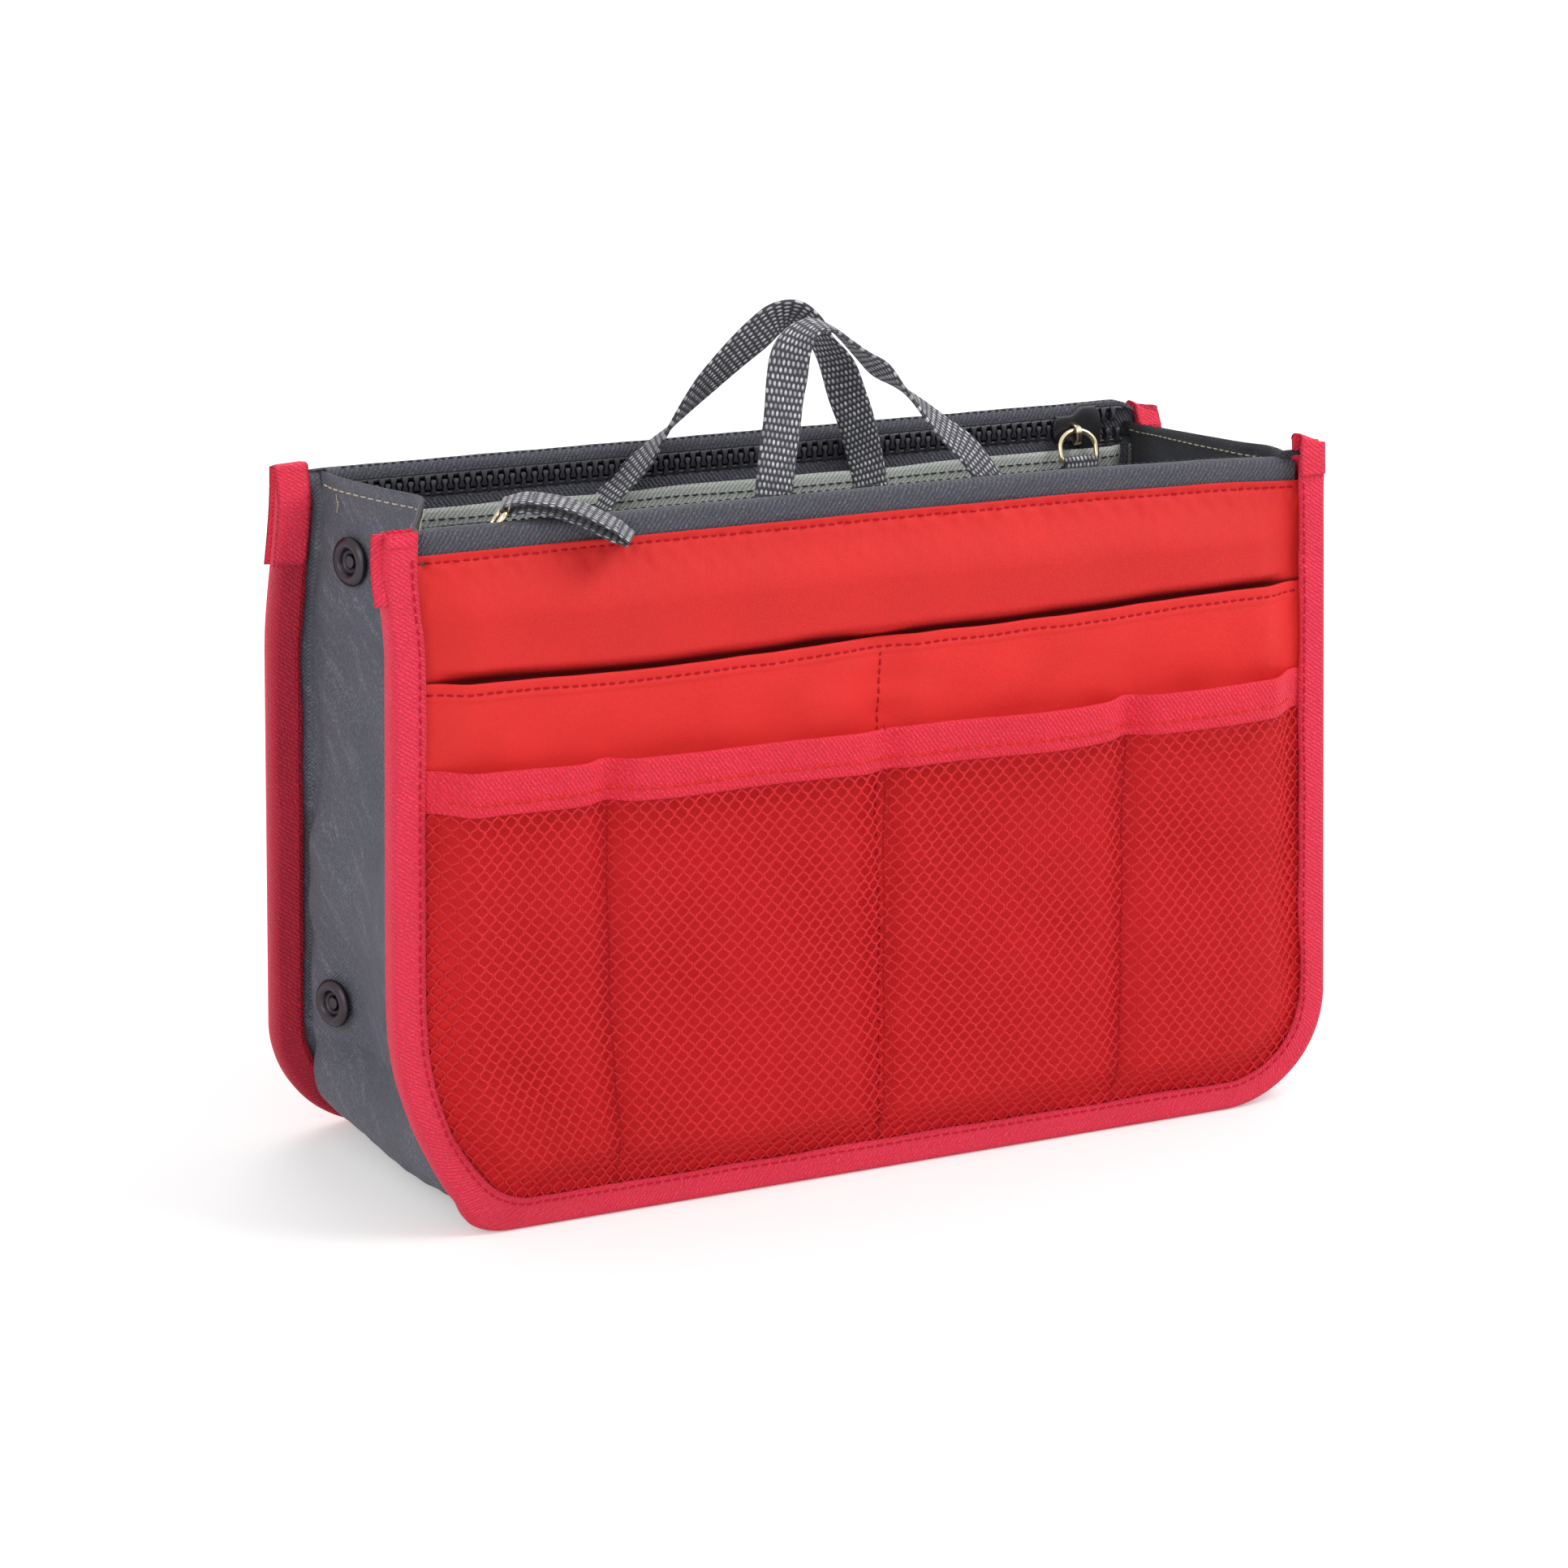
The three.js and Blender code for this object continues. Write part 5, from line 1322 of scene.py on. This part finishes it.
def handleStrap(wall):
    # one strap, sewn to the lining at both feet: up one side, over its peak and down the long slant, where
    # it twists about its own line
    out, z = handle["hinge"]
    lean = math.radians(handle["lean"])
    rise = np.array([0, -math.sin(lean), math.cos(lean)])
    facing = np.cross([1.0, 0, 0], rise)
    line = np.array(handle[wall], float)
    points = np.array([0, out, z]) + line[:, :1] * (1, 0, 0) + line[:, 1:] * rise
    points[:, 1] += (handle["footOut"] - points[:, 1]) * smooth(-line[:, 1] / 14)
    feet = []
    for k, step in ((0, 1), (-1, -1)):
        drift = (line[k, 0] - line[k + step, 0]) / 8
        for h in (157.0, handle["footZ"]):
            feet.append((line[k, 0] + drift * (h - points[k, 2]) * -0.5, handle["footOut"], h))
    path = curve(np.concatenate([[feet[1], feet[0]], points, [feet[2], feet[3]]]), 280)
    run = runLength(path)
    peak = run[path[:, 2].argmax()]
    place, degrees = np.array(handle["turns"][wall], float).T
    turn = np.radians(np.interp(run - peak, place, degrees))
    soft = np.hanning(17) / np.hanning(17).sum()
    turn = np.convolve(np.pad(turn, 8, "edge"), soft, "valid")[:, None]
    ahead = unit(np.gradient(path, axis=0))
    level = unit(np.cross(np.broadcast_to(facing, ahead.shape), ahead))
    flat = unit(np.array([1.0, 0, 0]) - ahead * ahead[:, :1])
    inLoop = smooth((path[:, 2] - z + 8) / 12)[:, None]
    flat *= np.sign((flat * level).sum(-1, keepdims=True) + 1e-9)
    level = unit(level * inLoop + flat * (1 - inLoop))
    normal = np.cross(ahead, level)
    widthWay = level * np.cos(turn) + normal * np.sin(turn)
    form = Form()
    form.strap(wall, path, widthWay, handle["width"], handle["thick"], 16, 0.12)
    made = form.piece(f"{wall}Handle", webbing)
    start, end = (toFrame(wall, [0, out, z + reach]) for reach in (-handle["bend"], handle["bend"]))
    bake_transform(made)
    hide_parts(f"{wall}_handle_left_leg", f"{wall}_handle_loop", f"{wall}_handle_right_leg")
    sewn = Form()
    for share in (0.018, 0.055, 0.945, 0.982):
        k = int(share * len(path))
        reach = np.linspace(-4.2, 4.2, 20)[:, None]
        line = path[k] + np.array([1.0, 0, 0]) * reach + np.array([0, -handle["thick"] / 2 - 0.05, 0])
        stitches(sewn, wall, line, (0, -1, 0), 1.9, 1.5, 0.18, seed=22)
    seam = sewn.piece(f"{wall}HandleStitches", greyThread, f"{wall}_wall")


# The gusset and its studs

gusset = {
    "top": 178.0,
    "edge": 2.2,
    "thick": 0.8,
    "depth": 14.5,
    "foldLow": 8.0,
    "rightShare": 0.2,
    "foldFoot": 40.0,
    "studs": (157.5, 41.0),
    "band": 8.5,
    "share": 0.61,
    "soft": 0.07,
    "hem": 5.0,
    "lowest": 1.0,
    "heldAt": 16.0,
    # inside moves the places of the gusset's inside face, which gussetNylon paints dark as painted shade
    "inside": 400.0,
}


def foldAt(z):
    # how deep the gusset's middle is pushed in: least at the bottom, where it fades out
    share = np.clip((z - gusset["foldFoot"]) / (bag["wallTop"] - gusset["foldFoot"]), 0, 1)
    return (gusset["foldLow"] + (gusset["depth"] - gusset["foldLow"]) * share) * smooth((z - 6) / 26)


def foldLevel(z):
    # the fold is even round each stud, so it sits flat; between the studs the heights are stretched to meet
    high, low = gusset["studs"]
    band = gusset["band"]
    known = [0, low - band, low + band, high - band, high + band, 200]
    level = [0, low, low, high, high, 200]
    return np.interp(z, known, level)


def puffOut(y, z):
    # how far the cloth swells outwards between the walls: little at the top, most round the bottom, held
    # in at the studs
    level = np.abs(y) / bag["gussetOut"]
    swell = 1.2 + 4.0 * smooth((150 - z) / 90) + 4.6 * smooth((34 - z) / 22)
    shape = smooth((1 - level) / 0.16) * (1 - 0.25 * level**2)
    held = sum(np.exp(-(((z - s) / 11) ** 2)) for s in gusset["studs"])
    return swell * shape * (1 - 0.75 * held * np.exp(-(((np.abs(y) - gusset["heldAt"]) / 12) ** 2)))


def gussetSheet():
    # a strip round the sides and bottom between the two walls; across it runs from one flange, lying in the
    # wall, over to the other with a fold pushed in along its middle that fades out towards the bottom
    places, inward, run = outlinePath(1.6)
    keep = places[:, 1] <= gusset["top"]
    places, inward, run = places[keep], inward[keep], run[keep]
    reach = bag["gussetOut"]
    turnIn = np.linspace(gusset["edge"], bag["gussetInset"] - 0.8, 5)
    bend = np.linspace(0, math.pi / 2, 5)[1:]
    toFront, toRear = np.linspace(-2, 0.9 - reach, 34), np.linspace(reach - 0.9, 2, 34)
    span = np.concatenate([toRear, np.linspace(1.5, -1.5, 7), toFront])
    corner = bag["gussetInset"] - 0.8 + 0.8 * np.sin(bend)
    cornerY = reach - 0.8 + 0.8 * np.cos(bend)
    middle = np.full(len(span), bag["gussetInset"])
    inset = np.concatenate([turnIn, corner, middle, corner[::-1], turnIn[::-1]])
    y = np.concatenate([np.full(5, reach), cornerY, span, -cornerY[::-1], np.full(5, -reach)])
    level = np.abs(y) / reach
    share = 1 - np.sqrt(level**2 + gusset["soft"] ** 2) + gusset["soft"] * 0.4
    share = np.clip(share, 0, 1) * (level < 0.999)
    z = places[:, 1][:, None]
    side = np.sign(places[:, 0])[:, None]
    free = smooth((1 - level) / 0.12)
    calm = 1 - sum(np.exp(-(((z - s) / 9) ** 2)) for s in gusset["studs"]) * 0.8
    wide, fine = ripples(y + 0 * z, run[:, None], 60, 72), ripples(y + 0 * z, run[:, None], 19, 71)
    crush = ripples(y + 0 * z, run[:, None], 11, 73) * smooth((60 - z) / 30)
    wide = wide * (0.3 + 0.8 * smooth((z - 8) / 30))
    wrinkle = (wide + fine * 0.5 * smooth((z - 14) / 14) + crush * 0.12) * free * calm
    fold = foldAt(foldLevel(z)) * np.where(side > 0, gusset["rightShare"], 1)
    deep = inset + fold * share + wrinkle - puffOut(y, foldLevel(z)) * (level < 0.999)
    flat = places[:, None] + inward[:, None] * deep[..., None]
    flat[..., 1] -= np.where(side > 0, 1.6 + 2.6 * np.clip(y / reach, -0.8, 1), 0) * smooth((z - 166) / 12)
    flat[..., 1] = np.maximum(flat[..., 1], gusset["lowest"])
    held = pinched(np.abs(y), z + 0 * y) - np.abs(y)
    y = y + np.sign(y) * held * smooth((np.abs(y) - 33) / 6)
    grid = np.stack([flat[..., 0], y, flat[..., 1]], -1)
    normal = unit(np.cross(np.gradient(grid, axis=0), np.gradient(grid, axis=1)))
    hem = smooth((z - (gusset["top"] - gusset["hem"])) / 0.8) * 0.5
    lift = normal * (gusset["thick"] * 0.7 + hem)[..., None] / 2
    across = np.concatenate([[0], np.cumsum(np.hypot(np.diff(inset), np.diff(y[-1])))])
    cut = np.stack(np.broadcast_arrays(across, run[:, None]), -1)
    form = Form()
    form.sheet(toFrame("gusset", grid + lift), toFrame("gusset", grid - lift), cut, gusset["inside"])
    made = form.piece("gussetSheet", gussetNylon, "rear_wall")
    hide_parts("gusset")
    sewn = Form()
    row = [int(np.argmin(np.abs(places[: len(places) // 2, 1] - (gusset["top"] - gusset["hem"] + 1.0))))]
    row.append(len(places) - 1 - row[0])
    for k in row:
        for way in (1, -1):
            line = (grid + lift * way + normal * way * 0.02)[k, 9:-9]
            stitches(sewn, "gusset", line, (normal * way)[k, 9:-9], 3.0, 2.3, 0.22, seed=30 + k % 7)
    seam = sewn.piece("gussetHemStitches", creamThread, "rear_wall")
    loose = Form()
    for k, y0, seed in ((row[0], -18, 1), (row[0], 30, 2), (row[1], 22, 3)):
        pick = np.random.default_rng(seed)
        c = int(np.argmin(np.abs(grid[k, :, 1] - y0)))
        way = np.sign(grid[k, c, 0]) * np.array([1.0, 0, 0])
        t = np.linspace(0, 1, 22)
        aside, down = way[0] * (0.6 + 1.4 * np.sin(3 * t)), -7 * t - 1.5 * np.sin(7 * t)
        curl = np.stack([aside, 3.5 * np.sin(5 * t + seed), down], -1)
        loose.strand("gusset", grid[k, c] + curl * pick.uniform(0.7, 1.0), 0.13, (0, 0.3, 1), 5)
    ends = loose.piece("gussetThreadEnds", creamThread, "rear_wall")
    for piece in (made, seam, ends):
        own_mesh(piece)


def studPlace(side, half, z):
    # a stud's middle on the gusset and the way it faces, moved with the sagging corner
    def at(y, height):
        fold = float(foldAt(z)) * (gusset["rightShare"] if side > 0 else 1)
        inset = bag["gussetInset"] + fold * (1 - abs(y) / bag["gussetOut"]) - float(puffOut(y, z))
        return np.array([side * (float(halfWidth(height)) - inset), y, height])
    y = half * gusset["share"] * bag["gussetOut"]
    normal = unit(np.cross(at(y + 2, z) - at(y - 2, z), at(y, z + 8.5) - at(y, z - 8.5)))
    middle = at(y, z)
    share = np.clip(0.5 - y / 80, 0, 1)
    middle[0] += float(slump(middle[0], z, share) - spread(middle[0], z, 1 - share))
    return middle, normal * np.sign(normal[0] * side)


def turned(form, profile, middle, normal, hidden=0.0, count=48):
    # a profile in radius and height turned about the normal; the finish reads the radius, and hidden is
    # added to it
    profile = np.asarray(profile, float)
    across = unit(np.cross(normal, (0, 0, 1.0)))
    other = np.cross(normal, across)
    angle = np.linspace(0, 2 * math.pi, count + 1)[:-1]
    spoke = across * np.cos(angle)[:, None] + other * np.sin(angle)[:, None]
    rings = middle + profile[:, None, :1] * spoke + profile[:, None, 1:] * normal
    cut = np.zeros((len(profile) + 1, count + 1, 2))
    cut[..., 0], cut[..., 1] = np.arange(count + 1), np.append(profile[:, 0], profile[0, 0])[:, None] + hidden
    form.loft(toFrame("stud", rings), cut)


studs = {
    # radius and height above the cloth's middle
    "socket": (
        (2.2, 0.95), (2.2, 0.87), (6.0, 0.85), (6.3, 1.0), (6.35, 1.5), (6.1, 2.0), (5.5, 2.5), (4.9, 2.75),
        (4.3, 2.8), (3.8, 2.6), (3.4, 2.2), (3.1, 1.6), (2.9, 1.1), (2.6, 0.95),
    ),
    "stud": (
        (1.9, 1.3), (1.9, 0.87), (5.3, 0.85), (5.6, 0.98), (5.6, 1.25), (5.3, 1.45), (3.8, 1.6), (3.1, 1.8),
        (2.75, 2.2), (2.7, 2.7), (3.05, 3.3), (3.1, 3.7), (2.9, 4.1), (2.4, 4.3), (2.1, 4.1), (1.9, 3.4),
    ),
    "cap": (
        (0.02, -2.45), (1.5, -2.5), (3.2, -2.42), (4.6, -2.1), (5.5, -1.6), (5.95, -1.15), (6.0, -0.95),
        (5.8, -0.85), (1.7, -0.85), (1.7, 1.2), (1.5, 1.5), (0.02, 1.55),
    ),
}


def pressStuds():
    for side, sideName in ((-1, "left"), (1, "right")):
        for half, halfName, kind in ((1, "rear", "socket"), (-1, "front", "stud")):
            for z, level in zip(gusset["studs"], ("upper", "lower")):
                middle, normal = studPlace(side, half, z)
                node = f"{sideName}_{halfName}_{level}"
                for part in (kind, "cap"):
                    form = Form()
                    # the cap's radius is lifted past the hollow, so it gets no painted shade
                    turned(form, studs[part], middle, normal, 10.0 if part == "cap" else 0.0)
                    made = form.piece(f"{node}_{part}Piece", gunmetal, f"{sideName}_{halfName}_studs")
                    sharpen(made, 42)
                    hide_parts(f"{node}_{part}")


for wall in bag["walls"]:
    facePanel(wall)
    foamPad(wall)
    backingCloth(wall)
    slipPocket(wall)
    netPocket(wall)
    netBand(wall)
    liningPanel(wall)
    edgeBinding(wall)
    upperTape(wall)
    lowerTape(wall)
    teeth(wall, 1)
    teeth(wall, -1)
    slider(wall)
    handleStrap(wall)
    print(wall, "wall made")
drapedPull("front")
hangingPull("rear")
gussetSheet()
pressStuds()
print("gusset, studs and pulls made")

# The floor, the light and the camera

stage = {
    "floorColour": (0.8, 0.8, 0.8),
    "floorGlow": 0.34,
    "farGlow": 0.4,
    "worldLevel": 0.62,
    "lamps": (
        # place, size, power
        ((0.75, -0.55, 1.05), 0.7, 7.8),
        ((-0.9, -0.8, 0.7), 0.9, 4.0),
        ((0.1, 0.9, 1.0), 0.8, 5.0),
    ),
}


def floorFinish():
    f = Finish("floor")
    path = f.tree.nodes.new("ShaderNodeLightPath")
    seen = [Link(f, path.outputs[name]) for name in ("Is Camera Ray", "Is Glossy Ray", "Is Transmission Ray")]
    direct = seen[0].op("MAXIMUM", seen[1]).op("MAXIMUM", seen[2])
    plain = f.node("ShaderNodeBsdfDiffuse", {}, {"Color": stage["floorColour"]})
    place = f.node("ShaderNodeTexCoord", output=3)
    away = f.node("ShaderNodeVectorMath", {"operation": "LENGTH"}, {0: place}, 1)
    level = away.above(0.35, 1.4) * stage["farGlow"] + stage["floorGlow"]
    glow = f.node("ShaderNodeEmission", {}, {"Color": (1.0, 1.0, 1.0), "Strength": direct * level})
    both = f.node("ShaderNodeAddShader", {}, {0: plain, 1: glow})
    out = f.tree.nodes.new("ShaderNodeOutputMaterial")
    f.tree.links.new(both.socket, out.inputs["Surface"])
    return f.material


def makeStage():
    mesh = bpy.data.meshes.new("floor")
    reach = 6.0
    corners = [(-reach, -reach, 0), (reach, -reach, 0), (reach, reach, 0), (-reach, reach, 0)]
    mesh.from_pydata(corners, [], [(0, 1, 2, 3)])
    mesh.materials.append(floorFinish())
    floor = bpy.data.objects.new("floor", mesh)
    bpy.context.scene.collection.objects.link(floor)
    world = bpy.data.worlds.new("studio")
    bpy.context.scene.world = world
    world.use_nodes = True
    tree = world.node_tree
    tree.nodes.clear()
    path = tree.nodes.new("ShaderNodeLightPath")
    most = tree.nodes.new("ShaderNodeMath")
    most.operation = "MAXIMUM"
    tree.links.new(path.outputs["Is Camera Ray"], most.inputs[0])
    tree.links.new(path.outputs["Is Glossy Ray"], most.inputs[1])
    again = tree.nodes.new("ShaderNodeMath")
    again.operation = "MAXIMUM"
    tree.links.new(most.outputs[0], again.inputs[0])
    tree.links.new(path.outputs["Is Transmission Ray"], again.inputs[1])
    soft, white = tree.nodes.new("ShaderNodeBackground"), tree.nodes.new("ShaderNodeBackground")
    soft.inputs["Strength"].default_value = stage["worldLevel"]
    soft.inputs["Color"].default_value = (1, 1, 1, 1)
    white.inputs["Strength"].default_value = 1.0
    white.inputs["Color"].default_value = (1, 1, 1, 1)
    mixed, out = tree.nodes.new("ShaderNodeMixShader"), tree.nodes.new("ShaderNodeOutputWorld")
    tree.links.new(again.outputs[0], mixed.inputs[0])
    tree.links.new(soft.outputs[0], mixed.inputs[1])
    tree.links.new(white.outputs[0], mixed.inputs[2])
    tree.links.new(mixed.outputs[0], out.inputs["Surface"])
    for k, (place, size, power) in enumerate(stage["lamps"]):
        lamp = bpy.data.lights.new(f"lamp{k}", "AREA")
        lamp.shape, lamp.size, lamp.energy = "DISK", size, power
        held = bpy.data.objects.new(f"lamp{k}", lamp)
        bpy.context.scene.collection.objects.link(held)
        held.location = place
        back = unit(np.array(place) - (0, 0, 0.09))
        held.rotation_euler = (math.acos(back[2]), 0, math.atan2(back[1], back[0]) + math.pi / 2)


camera = {"yaw": -23.194, "pitch": 15.954, "roll": -0.421, "place": (-0.3815, -0.8760, 0.3649), "lens": 86.70}


def makeCamera():
    # the camera's own axes from its yaw and pitch, then its roll
    yaw, pitch, roll = (math.radians(camera[k]) for k in ("yaw", "pitch", "roll"))
    back = np.array([math.sin(yaw) * math.cos(pitch), -math.cos(yaw) * math.cos(pitch), math.sin(pitch)])
    right = np.array([math.cos(yaw), math.sin(yaw), 0])
    up = np.cross(back, right)
    rightward = math.cos(roll) * right + math.sin(roll) * up
    upward = -math.sin(roll) * right + math.cos(roll) * up
    data = bpy.data.cameras.new("camera")
    data.lens, data.sensor_width, data.sensor_fit = camera["lens"], 36, "HORIZONTAL"
    data.clip_start, data.clip_end = 0.05, 30
    held = bpy.data.objects.new("camera", data)
    bpy.context.scene.collection.objects.link(held)
    matrix = np.eye(4)
    matrix[:3, 0], matrix[:3, 1], matrix[:3, 2], matrix[:3, 3] = rightward, upward, back, camera["place"]
    held.matrix_world = Matrix(matrix.tolist())
    bpy.context.scene.camera = held


makeStage()
makeCamera()
bpy.context.scene.view_settings.view_transform = "Standard"
bpy.context.view_layer.update()
